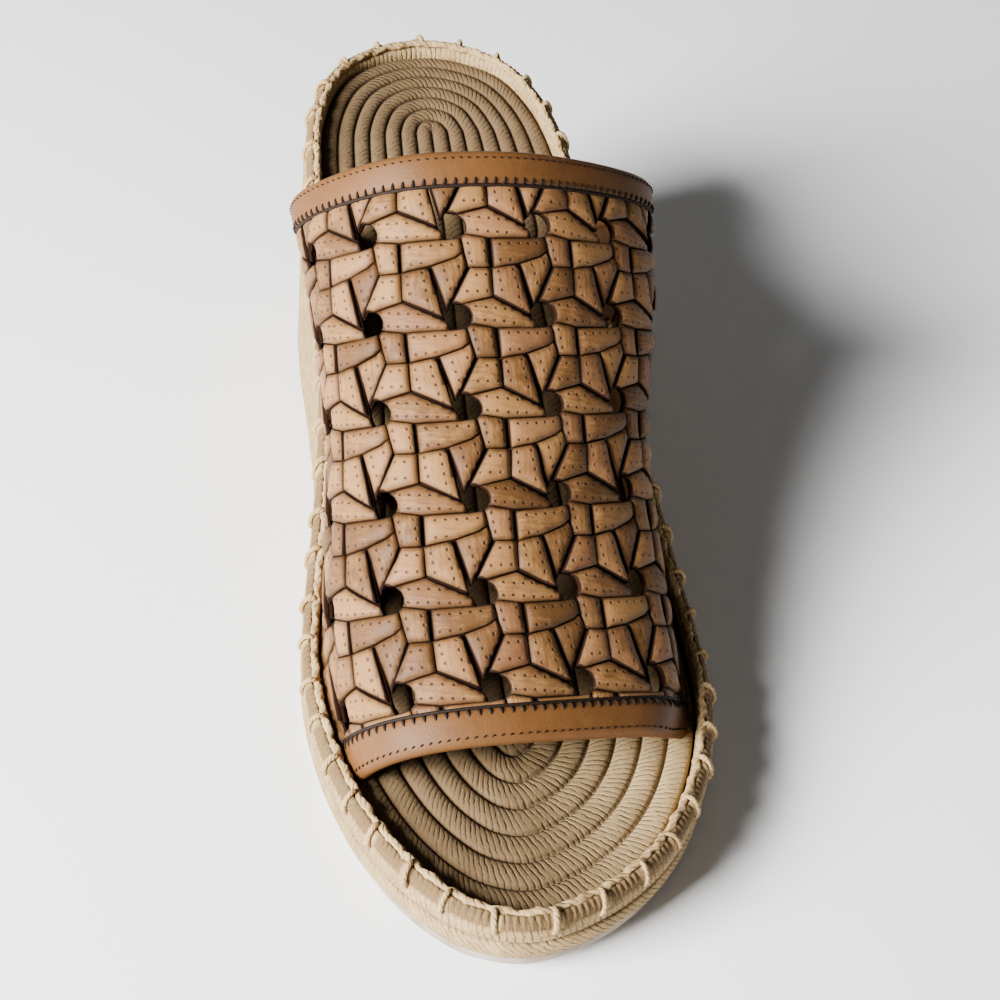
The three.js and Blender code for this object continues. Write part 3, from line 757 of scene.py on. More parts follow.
# Edge band: outset and height, from the platform (0) or from the band's top (1)
BAND_SECTION = [
    (0, 0, 0), (BAND_WIDTH - 0.3, 0, 0), (BAND_WIDTH + 0.1, 0.5, 0), (BAND_WIDTH + 0.25, 1.1, 0),
    (BAND_WIDTH, 1.75, 0), (BAND_WIDTH + 0.25, 2.4, 0), (BAND_WIDTH + 0.15, 3, 0),
    (BAND_WIDTH - 0.05, -4.1, 1), (BAND_WIDTH + 0.1, -3.3, 1), (BAND_WIDTH + 0.05, -2.5, 1),
    (BAND_WIDTH - 0.15, -1.65, 1), (BAND_WIDTH - 0.5, -0.95, 1), (BAND_WIDTH - 0.95, -0.4, 1),
    (BAND_WIDTH - 1.4, -0.1, 1), (CORD_WIDTH + 0.2, -0.15, 1), (CORD_WIDTH - 0.1, -0.6, 1),
    (CORD_WIDTH - 0.4, -1.4, 1), (0.1, -1.9, 1), (0, -3.2, 1), (0, 0, 0),
]
BAND_UV = 20
PANEL_ROWS = (8, 14)
PANEL_ENDS = (0.36, 0.45)
PANEL_DEPTH = 0.4
PANEL_DROP = 0.2
YARN_WIDTH = 1.35
YARN_HEIGHT = 0.1

# Waves of the cord to the side and up: height, count round the shoe, start
CORD_SWAY = [(0.14, 97, 0), (0.1, 223, 1)]
CORD_HEAVE = [(0.14, 71, 2), (0.1, 181, 0)]
CORD_GRID = (900, 10)
CORD_LAY = 5.5
CORD_SUNK = 0.5

# Blanket stitch: outset and height above the band's top
STITCH_LEG = [
    (CORD_WIDTH * 0.4, 0.25), (CORD_WIDTH, 0.55), (BAND_WIDTH - 1.2, 0.45), (BAND_WIDTH - 0.3, -0.35),
    (BAND_WIDTH + 0.35, -1.7), (BAND_WIDTH + 0.5, -3.2), (BAND_WIDTH + 0.3, -4.7), (BAND_WIDTH - 0.4, -5.2),
]
STITCH_LEG_GRID = (10, 6)


def make_band(jute, panels):
    """Band of upright yarns, drawn in a little between the stitches."""
    yarns = round(OUTLINE.length / YARN_WIDTH)
    rows = len(BAND_SECTION) - 1
    low, high = PANEL_ROWS

    def shape(u, v):
        row = np.rint(v * rows)
        upper = (row >= low) & (row <= high)
        between = np.abs(((u * panels) % 1) - 0.5)
        # The sunk panels between the stitches also take painted shade in the finish
        panel = np.where(upper, 1 - smoothstep(between, *PANEL_ENDS), 0)
        wave = YARN_HEIGHT * np.cos(FULL_TURN * u * yarns)
        ripple = np.where(row > 1, wave, 0) * np.where(upper, 1.5, 0.6) - PANEL_DEPTH * panel
        out, lift, from_top = table_at(BAND_SECTION, row)
        x, s = OUTLINE.at(u, out + np.where(row < high + 2, ripple, 0))
        z = (platform_z(s) + GAP) * (1 - from_top) + (footbed_z(s) + BAND_RISE) * from_top + lift
        z = z + np.where((row >= high - 3) & (row <= high), wave - PANEL_DROP * panel, 0)
        return in_frame(x, s, z), beside(u * OUTLINE.length, v * BAND_UV), {"panel": panel}

    finish = jute_finish("band yarn", jute.pale[:], jute.dark[:], slant=0.1, pitch=OUTLINE.length / yarns,
                         strands=0.3, panel=True)
    piece = finished("jute_edge_band", grid_surface(yarns * 4, rows, shape), [finish])
    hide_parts("edge_band")


def make_cord(jute):
    """Three-strand cord that sways a little."""

    def shape(u, v):
        angle = v * FULL_TURN
        run = u * FULL_TURN
        strand = 0.13 * np.cos(3 * angle - run * round(OUTLINE.length / CORD_LAY))
        radius = CORD_WIDTH / 2 * (0.88 + 0.07 * np.sin(run * 70) + strand)
        sway, heave = (sum(high * np.sin(run * count + start) for high, count, start in waves)
                       for waves in (CORD_SWAY, CORD_HEAVE))
        x, s = OUTLINE.at(u, CORD_WIDTH / 2 + sway + radius * np.cos(angle))
        z = footbed_z(s) + BAND_RISE - CORD_SUNK + heave + radius * np.sin(angle)
        return in_frame(x, s, z), beside(u * OUTLINE.length, v * CORD_WIDTH * 3), {}

    finish = jute_finish("pale cord", scaled(jute.pale, 1.12), scaled(jute.dark, 1.5), slant=1.0, pitch=1.83,
                         strands=0.35)
    piece = finished("pale_edge_cord", grid_surface(*CORD_GRID, shape), [finish])
    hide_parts("edge_cord")


def make_blanket_stitches(jute, panels):
    """Yarn legs that cross the band from the cord and go in on its outer face."""
    rng = random.Random(7)
    total, _ = new_mesh()
    for k in range(panels):
        lean = rng.uniform(-0.8, 1.3)
        middle = (k + rng.uniform(-0.08, 0.08)) / panels
        thick = rng.uniform(0.55, 0.75)

        def shape(u, v):
            out, rise = table_at(STITCH_LEG, u * (len(STITCH_LEG) - 1))
            angle = v * FULL_TURN
            radius = thick * np.sqrt(np.maximum(0.15, 1 - (2 * u - 1) ** 6))
            ahead = radius * np.cos(angle) + lean * (u - 0.5) * 2
            lift = radius * np.sin(angle)
            tilt = np.interp(u, [0, 0.3, 0.7, 1], [0, 0, 1, 1])
            x, s = OUTLINE.at(middle + ahead / OUTLINE.length, out + lift * tilt)
            z = footbed_z(s) + BAND_RISE + rise + lift * (1 - tilt)
            return in_frame(x, s, z), beside(u * 9, v * 4), {}

        add_part(total, grid_surface(*STITCH_LEG_GRID, shape))
    finish = jute_finish("stitch yarn", scaled(jute.pale, 1.15), scaled(jute.dark, 1.6), slant=0.8, pitch=1.2,
                         strands=0.3)
    finished("blanket_stitches", total, [finish])


class SHOE_OT_edge(bpy.types.Operator):
    """Jute band round the top of the sole, its cord and its blanket stitches"""

    bl_idname = "shoe.edge"
    bl_label = "Sewn edge"

    def execute(self, context):
        jute = context.scene.jute_settings
        panels = round(OUTLINE.length / jute.stitch_pitch)
        make_band(jute, panels)
        make_cord(jute)
        make_blanket_stitches(jute, panels)
        return {"FINISHED"}


class SHOE_OT_footbed(bpy.types.Operator):
    """Coiled rope footbed"""

    bl_idname = "shoe.footbed"
    bl_label = "Footbed"

    COLUMNS = 1200
    QUICK_COLUMNS = 300
    PER_COIL = 7
    UNDER_ROWS = 2
    SLANT = 1.5
    STRAND = 1.42
    COIL_WIDTH = 6.4
    COIL_DEPTH = COIL_RISE + 0.15
    COIL_STAGGER = 2.1
    TWIST_HEIGHT = 0.18
    TWIST_LEVEL = 0.8
    TWIST_ROUND = 0.6
    # lengths of the waves in the twist and in the height of the coils, and how high each is
    WAVES = (7, 17, 57)
    WAVE_HEIGHTS = (0.35, 0.07, 0.1)
    # lateral distance and s over which the coils turn paler at the toe: painted light on the lateral side of
    # the toe
    PAINTED_LIGHT_ROUND = (-2, 32)
    PAINTED_LIGHT_BACK = (45, 75)

    def strand_runs(self, columns):
        """Distance along the middle of each coil, stretched to a whole number of strands."""
        runs = []
        for middle in 1 - (np.arange(COIL_COUNT) + 0.5) / COIL_COUNT:
            x, s = toward_hub(*OUTLINE.at(np.linspace(0, 1, columns + 1), -GAP), middle)
            run = lengths_along(beside(x, s))
            runs.append(run * round(run[-1] / self.STRAND) * self.STRAND / run[-1])
        return np.array(runs)

    def execute(self, context):
        jute = context.scene.jute_settings
        rows = self.UNDER_ROWS + COIL_COUNT * self.PER_COIL
        columns = self.COLUMNS
        runs = self.strand_runs(columns)
        waves = [np.rint(runs[:, -1] / length) for length in self.WAVES]

        def shape(u, v):
            row = np.rint(v * rows)
            under = row <= self.UNDER_ROWS
            coil_row = np.maximum(row - self.UNDER_ROWS, 0)
            turn = np.minimum(coil_row // self.PER_COIL, COIL_COUNT - 1).astype(int)
            arc = math.pi * (coil_row / self.PER_COIL - turn)
            across = -np.cos(arc)
            crown = np.sin(arc)
            coil = turn + (1 + across) / 2
            share = np.where(under, row / self.UNDER_ROWS, 1 - coil / COIL_COUNT)
            _, s = OUTLINE.at(u)
            margin = (INSOLE_MARGIN - GAP) * (smoothstep(s, MARGIN_HIDDEN, MARGIN_HIDDEN + MARGIN_TAPER)
                                              - smoothstep(s, MARGIN_BACK, MARGIN_BACK + MARGIN_TAPER))
            x, s = toward_hub(*OUTLINE.at(u, -(GAP + margin)), share)
            slanted = runs[turn, np.rint(u * columns).astype(int)] + across * self.SLANT
            short, middle, long = (high * np.sin(FULL_TURN * u * wave[turn] + turn * self.COIL_STAGGER)
                                   for wave, high in zip(waves, self.WAVE_HEIGHTS))
            twist = np.abs(np.sin(math.pi * (slanted / self.STRAND + short))) ** self.TWIST_ROUND
            relief = self.TWIST_HEIGHT * (twist - self.TWIST_LEVEL) + (long + middle)
            top = footbed_z(s) - self.COIL_DEPTH * (1 - crown) + relief * crown
            z = np.where(under, platform_z(s) + GAP, top)
            # Painted light: the coils on the lateral side of the toe turn paler
            painted_light = smoothstep(x, *self.PAINTED_LIGHT_ROUND) * (1 - smoothstep(s, *self.PAINTED_LIGHT_BACK))
            return in_frame(x, s, z), beside(slanted, coil * self.COIL_WIDTH), {"painted_light": painted_light}

        finish = jute_finish("footbed rope", jute.footbed[:], scaled(jute.dark, 0.62), slant=0,
                             pitch=self.STRAND, strands=0.2, course=self.COIL_WIDTH, grooves=0.4,
                             painted_light=jute.pale[:])
        piece = finished("coiled_footbed", grid_surface(columns, rows, shape), [finish])
        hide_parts("insole")
        return {"FINISHED"}


def off_hole(point, radius):
    """The point, moved out of the nearest hole of the weave."""
    centre = Vector((round(point.x / CELL_ROUND) * CELL_ROUND, round(point.y / CELL_ALONG) * CELL_ALONG))
    away = point - centre
    return centre + away.normalized() * radius if away.length < radius else point


def strip_outline(corners, inset, radius):
    """Outline of a strip: each point, the rise there, and half the slit of the edge that follows."""
    hole_steps = 5
    nearly_straight = 0.15
    flat = [Vector((a * CELL_ROUND, b * CELL_ALONG)) for a, b, _, _ in corners]
    count = len(flat)
    lines = []
    for i, corner in enumerate(corners):
        ahead = (flat[(i + 1) % count] - flat[i]).normalized()
        lines.append((flat[i] + Vector((-ahead.y, ahead.x)) * max(corner[3], 0) * inset, ahead))
    moved = []
    for i in range(count):
        p, d = lines[i - 1]
        q, e = lines[i]
        cross = d.x * e.y - d.y * e.x
        if abs(cross) < nearly_straight:
            moved.append((p + d * (flat[i] - p).dot(d) + q + e * (flat[i] - q).dot(e)) / 2)
        else:
            moved.append(p + d * (((q.x - p.x) * e.y - (q.y - p.y) * e.x) / cross))
    outline = []
    for i, (_, _, rise, half) in enumerate(corners):
        after = (i + 1) % count
        steps = hole_steps if half == ROUND_HOLE else 1
        for k in range(steps):
            point = moved[i].lerp(moved[after], k / steps)
            outline.append((off_hole(point, radius), rise + (corners[after][2] - rise) * k / steps, half))
    return outline


def crease_depth(round_, along):
    depth = 0
    for at, middle, reach, deep, wide in FLEX_CREASES:
        aside = (round_ - middle) / reach
        bowed = along - at - CREASE_BOW * aside**2
        depth = depth + deep * np.exp(-((bowed / wide) ** 2)) * (1 - smoothstep(np.abs(aside), 0.3, 1))
    return depth


# The weave is cut flat, and then moved on to the last
STRIP_PITCH = 1.35
STRIP_SNAP = 0.02
STRIP_MERGE = 0.03
STRIP_FOOT = WALL * 0.5
STRIP_BASE = WALL * 0.8
STRIP_FULL = 1.35
CROWN = 0.5
CROWN_REACH = 1.4
RIM_DROP = 0.24
RIMS = (0.15, 0.5)
PAINTED = 0.16
FAR = 9.0
MOST_COLUMNS = 9
CELL_REACH = 1.2
WALL_STEPS = 7
WALL_SNAP = 0.01
WALL_MERGE = 0.05
WALL_TOP = WALL * 0.75
WALL_INSET = 0.35
UNDER_BINDING = 0.8
TRIM_SNAP = 0.001
GRAIN_START = 50
MEND_ROUNDS = 4

# How far from the foot the strips and the wall stop
STRIPS_KEEP = 2.5
WALL_KEEP = 1.5

# Lifts that move with a strip, and how strips are pressed down beside a binding or rand
STRIPS_LIFTED = WALL * 0.6
PRESSED_LIFT = WALL * 0.95
PRESSED = (-1.2, 2.4)

# Rands: height up the girth from the foot, lift
RAND_SECTION = [
    (0.5, 0.0), (0.5, RAND_THICK - 0.2), (4, RAND_THICK), (RAND_HEIGHT - 0.9, RAND_THICK + 0.1),
    (RAND_HEIGHT - 0.2, RAND_THICK - 0.15), (RAND_HEIGHT + 0.15, RAND_THICK - 0.8), (RAND_HEIGHT + 0.2, 0.9),
    (RAND_HEIGHT, 0.0), (RAND_HEIGHT - 2, -0.15), (0.5, 0.0),
]
RAND_COLUMNS = 110
RAND_START = BINDING_WIDTH - 0.5


def cells():
    """Row and column of each cell that reaches the vamp."""
    rows = math.ceil((LAST.length - FIRST_HOLES) / CELL_ALONG) + 1
    for row in range(-1, rows + 1):
        middle = min(max(FIRST_HOLES + row * CELL_ALONG, 0), LAST.length)
        for column in range(-MOST_COLUMNS, MOST_COLUMNS + 1):
            side = 1 if column >= 0 else -1
            if abs(column) * CELL_ROUND < LAST.girth(middle, side) + CELL_REACH * CELL_ROUND:
                yield row, column


def in_cell(row, column, x, y, z):
    """Place of a cell's point in the flat weave."""
    return x + column * CELL_ROUND, FIRST_HOLES + row * CELL_ALONG - y, z


def taken_apart(bm, *layers):
    """Points with their values, and faces turned over, of a mesh that is then freed."""
    bm.verts.index_update()
    points = [(vert.co.copy(), *(vert[layer] for layer in layers)) for vert in bm.verts]
    faces = [[vert.index for vert in face.verts][::-1] for face in bm.faces]
    bm.free()
    return points, faces


def thicken(bm, z):
    """Closes a flat sheet with a copy of its faces at another height, and gives that copy."""
    made = bmesh.ops.extrude_face_region(bm, geom=list(bm.faces))["geom"]
    for item in made:
        if isinstance(item, bmesh.types.BMVert):
            item.co.z = z
    return [item for item in made if isinstance(item, bmesh.types.BMFace)]


def strip_template(strip):
    """One strip, flat: x towards the lateral side, y towards the toe, z the lift."""
    outline = strip_outline(strip["corners"], 1, HOLE_RADIUS)
    bm = bmesh.new()
    face = bm.faces.new([bm.verts.new((*p, 0)) for p, _, _ in outline])
    for rim in RIMS:
        bmesh.ops.inset_region(bm, faces=[face], thickness=rim, use_even_offset=True)
    lines = []
    for k in (0, 1):
        low = min(p[k] for p, _, _ in outline)
        span = max(p[k] for p, _, _ in outline) - low
        count = math.ceil(span / STRIP_PITCH)
        lines.append([low + span * step / count for step in range(1, count)])
    cut_lattice(bm, lines, STRIP_SNAP)
    bmesh.ops.remove_doubles(bm, verts=bm.verts, dist=STRIP_MERGE)
    at = np.array([vert.co[:2] for vert in bm.verts])
    edge = np.full(len(at), FAR)
    slit = np.full(len(at), FAR)
    weights = 0
    rise = 0
    for i, (start, top, half) in enumerate(outline):
        a = np.array(start)
        d = np.array(outline[(i + 1) % len(outline)][0]) - a
        t = np.clip(((at - a) @ d) / (d @ d), 0, 1)
        away = np.linalg.norm(at - (a + t[:, None] * d), axis=1)
        edge = np.minimum(edge, away)
        if half == ROUND_HOLE or half > SLIT:
            slit = np.minimum(slit, away)
        weight = 1 / (np.linalg.norm(at - a, axis=1) + 0.5) ** 2
        weights = weights + weight
        rise = rise + weight * top
    crown = CROWN * (1 - np.exp(-edge / CROWN_REACH))
    rim = RIM_DROP * np.clip(1 - edge / sum(RIMS), 0, 1) ** 2
    lifts = STRIP_BASE + STRIP_RISE * (rise / weights) * STRIP_FULL + crown - rim
    layers = [bm.verts.layers.float.new(name) for name in ("edge", "slit")]
    for vert, lift, *values in zip(bm.verts, lifts, edge, slit):
        vert.co.z = lift
        for layer, value in zip(layers, values):
            vert[layer] = value
    thicken(bm, STRIP_FOOT)
    return bm, *layers


def trim(bm, keep):
    """Cuts the flat weave under the bindings, and drops what lies near the foot under the rands."""
    inset = BINDING_WIDTH - UNDER_BINDING
    for y, direction in ((inset, -1), (LAST.length - inset, 1)):
        cut(bm, (0, y, 0), (0, direction, 0), TRIM_SNAP, clear_outer=True)
    low = []
    for face in bm.faces:
        middle = face.calc_center_median()
        side = 1 if middle.x >= 0 else -1
        if abs(middle.x) > LAST.girth(middle.y, side) - keep:
            low.append(face)
    bmesh.ops.delete(bm, geom=low, context="FACES")


def mend(bm):
    """Closes the strips that were cut, and drops the few faces at the cut that can't be closed."""
    for _ in range(MEND_ROUNDS):
        close(bm)
        torn = [face for face in bm.faces if any(len(edge.link_faces) != 2 for edge in face.edges)]
        if not torn:
            break
        bmesh.ops.delete(bm, geom=torn, context="FACES")


def lay(bm):
    """Moves the flat weave on to the last, pressed down beside the bindings and rands."""
    round_, along, z = np.array([vert.co[:] for vert in bm.verts]).T
    inside = np.minimum(along, LAST.length - along) - BINDING_WIDTH
    girth = np.where(round_ < 0, LAST.girth(along, -1), LAST.girth(along, 1))
    above = girth - np.abs(round_) - RAND_HEIGHT
    pressed = smoothstep(inside, *PRESSED) * smoothstep(above, *PRESSED)
    low = np.minimum(z, PRESSED_LIFT)
    lift = low + (z - low) * pressed - crease_depth(round_, along)
    set_points(bm, LAST.place(round_, along, lift))


def make_strips(finishes):
    """Every strip of the weave, each laid a little unevenly."""
    total, uv = new_mesh()
    layers = [total.verts.layers.float.new(name) for name in ("edge", "slit", "rows", "tone")]
    rng = random.Random(3)
    for strip in WEAVE_STRIPS:
        shape, faces = taken_apart(*strip_template(strip))
        grain = [share * size for share, size in zip(strip["grain"], (CELL_ROUND, CELL_ALONG) * 2)]
        middle = Vector(grain[:2])
        ahead = Vector(grain[2:]).normalized()
        outer = Vector((-ahead.y, ahead.x))
        centre = sum((co.xy for co, _, _ in shape), Vector((0, 0))) / len(shape)
        for row, column in cells():
            turn = math.radians(rng.uniform(-1.3, 1.3))
            lift = rng.uniform(-0.12, 0.12)
            slide = rng.uniform(0, 2.1)
            lean = rng.uniform(-0.03, 0.03)
            tilt = rng.uniform(-0.03, 0.03)
            tone = rng.uniform(0, 1)
            made = []
            for co, edge, slit in shape:
                flat = co.xy - centre
                z = co.z if co.z < STRIPS_LIFTED else co.z + lift + lean * flat.x + tilt * flat.y
                flat = Vector((flat.x * math.cos(turn) - flat.y * math.sin(turn),
                               flat.x * math.sin(turn) + flat.y * math.cos(turn))) + centre
                vert = total.verts.new(in_cell(row, column, flat.x, flat.y, z))
                for layer, value in zip(layers, (edge, slit, strip["rows"], tone)):
                    vert[layer] = value
                made.append((vert, co.xy - middle))
            for corners in faces:
                face = total.faces.new([made[i][0] for i in corners])
                face.material_index = int(all(shape[i][2] < PAINTED for i in corners))
                for loop, i in zip(face.loops, corners):
                    along = made[i][1].dot(ahead) + slide + GRAIN_START
                    loop[uv].uv = (along / UV_UNIT, made[i][1].dot(outer) / UV_UNIT)
    trim(total, STRIPS_KEEP)
    mend(total)
    lay(total)
    finished("woven_strips", total, finishes)


def make_wall(finishes):
    """The wall behind the strips, open at the holes."""
    cell = bmesh.new()
    known = {}
    for strip in WEAVE_STRIPS:
        ring = []
        for point, _, _ in strip_outline(strip["corners"], 0, HOLE_RADIUS + WALL_INSET):
            key = (round(point.x, 2), round(point.y, 2))
            if key not in known:
                known[key] = cell.verts.new((*point, 0))
            ring.append(known[key])
        cell.faces.new(ring)
    steps = range(-WALL_STEPS, WALL_STEPS + 1)
    lines = [[size * k / WALL_STEPS for k in steps] for size in (CELL_ROUND, CELL_ALONG)]
    cut_lattice(cell, lines, WALL_SNAP)
    shape, faces = taken_apart(cell)
    total, uv = new_mesh()
    for row, column in cells():
        made = [total.verts.new(in_cell(row, column, *co.xy, WALL_TOP)) for co, in shape]
        for corners in faces:
            total.faces.new([made[i] for i in corners])
    bmesh.ops.remove_doubles(total, verts=total.verts, dist=WALL_MERGE)
    trim(total, WALL_KEEP)
    for face in total.faces:
        for loop in face.loops:
            loop[uv].uv = loop.vert.co.xy / UV_UNIT
    # The copy on the foot's side takes the lining; the outer face keeps the near-black finish, painted shade
    # seen down the slits
    for face in thicken(total, 0):
        face.material_index = 1
    lay(total)
    piece = finished("woven_wall", total, finishes)
    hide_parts("upper")


def make_rands(finish):
    """Plain strips along both feet, going down inside the band."""
    rows = len(RAND_SECTION) - 1
    for side, name in ((-1, "medial_rand"), (1, "lateral_rand")):
        def shape(u, v):
            along = RAND_START + u * (LAST.length - 2 * RAND_START)
            height, lift = table_at(RAND_SECTION, np.rint(v * rows))
            round_ = side * (LAST.girth(along, side) - height)
            return LAST.place(round_, along, lift), beside(along, height), {}

        bm = grid_surface(RAND_COLUMNS, rows, shape)
        close(bm)
        finished(name, bm, [finish])


class SHOE_OT_vamp(bpy.types.Operator):
    """Woven vamp: strips raised on one wall with open holes, and plain strips along its feet"""

    bl_idname = "shoe.vamp"
    bl_label = "Woven vamp"

    def execute(self, context):
        leather = context.scene.leather_settings
        pale, tan, dark = leather.pale[:], leather.tan[:], leather.dark[:]
        strips = leather_finish("woven leather", pale, tan, FINE_GRAIN, gloss=0.42, specular=0.18,
                                edging=dark)
        # Near-black finish: the painted cut edges of the strips, and painted shade on the wall's outer face
        # behind the slits
        paint_and_shade = leather_finish("edge paint", scaled(dark, 1.6), dark, FINE_GRAIN, gloss=0.85, specular=0.03)
        lining = leather_finish("lining", tan, scaled(tan, 0.6), FINE_GRAIN, gloss=0.6)
        plain = leather_finish("plain leather", scaled(pale, 0.75), scaled(tan, 0.75), RAND_GRAIN, gloss=0.45)
        make_strips([strips, paint_and_shade])
        make_wall([paint_and_shade, lining])
        make_rands(plain)
        return {"FINISHED"}


# Bindings: depth in from the edge, lift
BINDING_SECTION = [
    (BINDING_WIDTH, 1.35), (BINDING_WIDTH + 0.02, 1.75), (BINDING_WIDTH - 0.25, 2.15),
    (BINDING_WIDTH - 0.9, 2.38), (5.4, 2.48), (3.8, 2.52), (2.2, 2.48), (1.1, 2.3), (0.4, 1.85), (0.02, 1.15),
    (-0.02, 0.5), (0.15, -0.15), (0.6, -0.65), (1.4, -0.95), (4, -1.0), (BINDING_WIDTH - 0.7, -0.95),
    (BINDING_WIDTH - 0.6, 0.0), (BINDING_WIDTH - 0.4, 0.3), (BINDING_WIDTH, 1.35),
]
BINDING_COLUMNS = 150

# Teeth over the inner edge, and short stitches near the fold: start and end depth, lean, spacing, start,
# middle and end lift, start and end radius
STITCH_ROWS = [
    (BINDING_WIDTH + 0.3, BINDING_WIDTH - 1.5, 0.15, 2.15, 1.75, 2.5, 2.4, 0.5, 0.16),
    (1.5, 2.05, 0.25, 1.75, 2.3, 2.6, 2.42, 0.27, 0.27),
]
STITCH_END = 7
STITCH_GRID = (4, 6)
THREAD_GRID = (160, 8)
THREAD_DEPTH = BINDING_WIDTH + 0.3
THREAD_LIFT = 1.75
THREAD_RADIUS = 0.45


def make_binding(name, node, edge, finish):
    """Strip folded over an edge of the vamp."""
    rows = len(BINDING_SECTION) - 1

    def shape(u, v):
        depth, lift = table_at(BINDING_SECTION, np.rint(v * rows))
        along = edge(depth)
        start, end = LAST.feet(along, BINDING_FOOT)
        round_ = start + (end - start) * u
        return LAST.place(round_, along, lift), beside(round_, depth), {}

    bm = grid_surface(BINDING_COLUMNS, rows, shape)
    close(bm)
    piece = finished(name, bm, [finish])
    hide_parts(node)


def make_binding_stitches(name, edge, finish):
    """Both rows of stitches, and the thread that joins the teeth."""
    total, _ = new_mesh()
    for first, last, lean, spacing, low, middle, high, wide, narrow in STITCH_ROWS:
        start, end = LAST.feet(edge((first + last) / 2), STITCH_END)
        count = int((end - start) / spacing)
        for k in range(count + 1):
            centre = start + (end - start) * k / count

            def shape(u, v):
                angle = v * FULL_TURN
                radius = (wide + (narrow - wide) * u) * np.sqrt(np.maximum(0.1, 1 - (2 * u - 1) ** 4))
                round_ = centre + lean * (2 * u - 1) + radius * np.cos(angle)
                lift = low + (high - low) * u + 4 * (middle - (low + high) / 2) * u * (1 - u)
                lift = lift + radius * np.sin(angle) * 0.8
                return LAST.place(round_, edge(first + (last - first) * u), lift), beside(u * 2, v), {}

            add_part(total, grid_surface(*STITCH_GRID, shape))

    def running(u, v):
        angle = v * FULL_TURN
        along = edge(THREAD_DEPTH + THREAD_RADIUS * np.cos(angle))
        start, end = LAST.feet(along, STITCH_END)
        round_ = start + (end - start) * u
        return LAST.place(round_, along, THREAD_LIFT + THREAD_RADIUS * np.sin(angle)), beside(round_, v), {}

    add_part(total, grid_surface(*THREAD_GRID, running))
    finished(name, total, [finish])


class SHOE_OT_bindings(bpy.types.Operator):
    """Folded leather strips on the front edge and the throat, with their stitches"""

    bl_idname = "shoe.bindings"
    bl_label = "Bindings"

    def execute(self, context):
        leather = context.scene.leather_settings
        tan = leather.binding[:]
        finish = leather_finish("binding leather", scaled(tan, 1.25), tan, BINDING_GRAIN, gloss=0.42)
        thread = thread_finish("dark thread", leather.thread[:])
        edges = (("front_edge_binding", "front_binding", lambda depth: depth),
                 ("throat_edge_binding", "throat_binding", lambda depth: LAST.length - depth))
        for name, node, edge in edges:
            make_binding(name, node, edge, finish)
            make_binding_stitches(name.replace("binding", "stitches"), edge, thread)
        return {"FINISHED"}


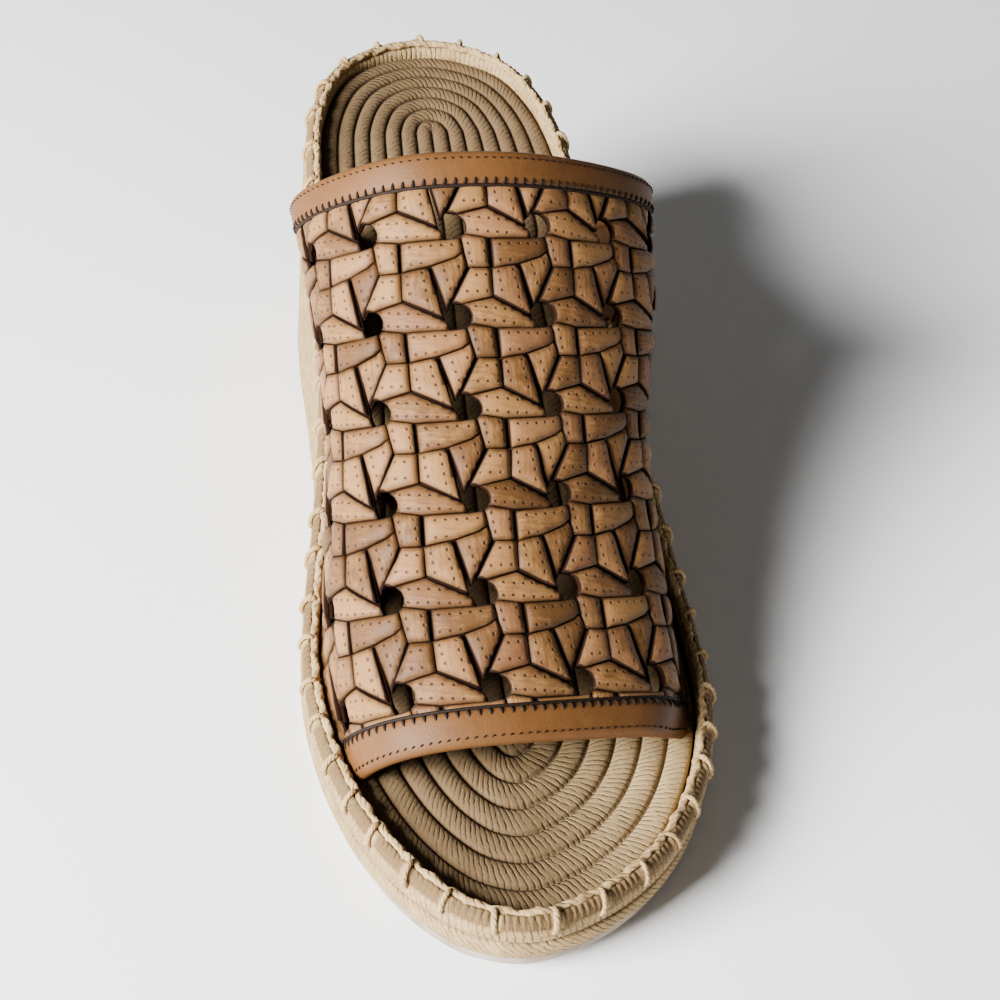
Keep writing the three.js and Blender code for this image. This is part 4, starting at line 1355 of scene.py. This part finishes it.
class SHOE_OT_stage(bpy.types.Operator):
    """Pale floor, soft light and the camera"""

    bl_idname = "shoe.stage"
    bl_label = "Stage"

    CAMERA = (-0.0619, -0.3094, 0.3263)
    AIM = (0.0042, -0.0162, 0.0353)
    ROLL = math.radians(5.5)
    NEAREST = 0.01
    SENSOR = 36
    LAMP = (-0.88, -0.42, 0.56)
    LIT = (0, -0.03, 0.04)
    SKY = (0.98, 0.99, 1, 1)
    SKY_STRENGTH = 0.085
    FLOOR_SIZE = 6
    FLOOR_FLAT = 2.5
    FLOOR_CURVE = 0.25
    FLOOR_GRID = 60
    FLOOR_SHADES = ((0.93, 0.93, 0.925), (0.96, 0.96, 0.955))

    def execute(self, context):
        stage = context.scene.stage_settings
        self.make_floor()
        world = bpy.data.worlds.new("studio")
        world.use_nodes = True
        background = world.node_tree.nodes["Background"]
        background.inputs["Color"].default_value = self.SKY
        background.inputs["Strength"].default_value = self.SKY_STRENGTH
        context.scene.world = world
        lamp = bpy.data.lights.new("window", "AREA")
        lamp.energy = stage.key
        lamp.size = stage.lamp_size
        self.aim(new_object("window", lamp), self.LAMP, self.LIT, 0)
        lens = bpy.data.cameras.new("camera")
        lens.lens = stage.lens
        lens.sensor_width = self.SENSOR
        lens.clip_start = self.NEAREST
        camera = new_object("camera", lens)
        self.aim(camera, self.CAMERA, self.AIM, self.ROLL)
        context.scene.camera = camera
        return {"FINISHED"}

    def aim(self, made, place, target, roll):
        made.location = place
        made.rotation_mode = "QUATERNION"
        aimed = (Vector(target) - made.location).to_track_quat("-Z", "Y")
        made.rotation_quaternion = aimed @ Quaternion((0, 0, 1), roll)

    def make_floor(self):
        """Floor that is flat round the shoe and curves up far behind it."""
        bm = bmesh.new()
        count = self.FLOOR_GRID
        bmesh.ops.create_grid(bm, x_segments=count, y_segments=count, size=self.FLOOR_SIZE)
        for vert in bm.verts:
            beyond = max(0, vert.co.length - self.FLOOR_FLAT)
            vert.co.z = self.FLOOR_CURVE * beyond**2
        finish = Finish("pale floor")
        cloud = finish.noise(2.5, 3)
        finish.set(base_color=finish.mix(cloud, *self.FLOOR_SHADES), roughness=0.7 + cloud * 0.1)
        floor = smooth_object("pale_floor", bm, [finish])


OPERATORS = (SHOE_OT_outsole, SHOE_OT_wedge, SHOE_OT_edge, SHOE_OT_footbed, SHOE_OT_vamp, SHOE_OT_bindings,
             SHOE_OT_stage)
SETTINGS = {
    "leather_settings": LeatherSettings,
    "jute_settings": JuteSettings,
    "stage_settings": StageSettings,
}


class SHOE_PT_panel(bpy.types.Panel):
    """Lists the pieces of the shoe and their settings"""

    bl_label = "Espadrille wedge"
    bl_idname = "SHOE_PT_panel"
    bl_space_type = "VIEW_3D"
    bl_region_type = "UI"
    bl_category = "Espadrille"

    def draw(self, context):
        for operator in OPERATORS:
            self.layout.operator(operator.bl_idname)
        for group in SETTINGS:
            settings = getattr(context.scene, group)
            for name in settings.__annotations__:
                self.layout.prop(settings, name)


CLASSES = (*SETTINGS.values(), *OPERATORS, SHOE_PT_panel)


def register():
    for made in CLASSES:
        bpy.utils.register_class(made)
    for name, group in SETTINGS.items():
        setattr(bpy.types.Scene, name, PointerProperty(type=group))


def unregister():
    for name in SETTINGS:
        delattr(bpy.types.Scene, name)
    for made in reversed(CLASSES):
        bpy.utils.unregister_class(made)


def main():
    register()
    for operator in OPERATORS:
        group, name = operator.bl_idname.split(".")
        getattr(getattr(bpy.ops, group), name)()


if __name__ == "__main__":
    main()
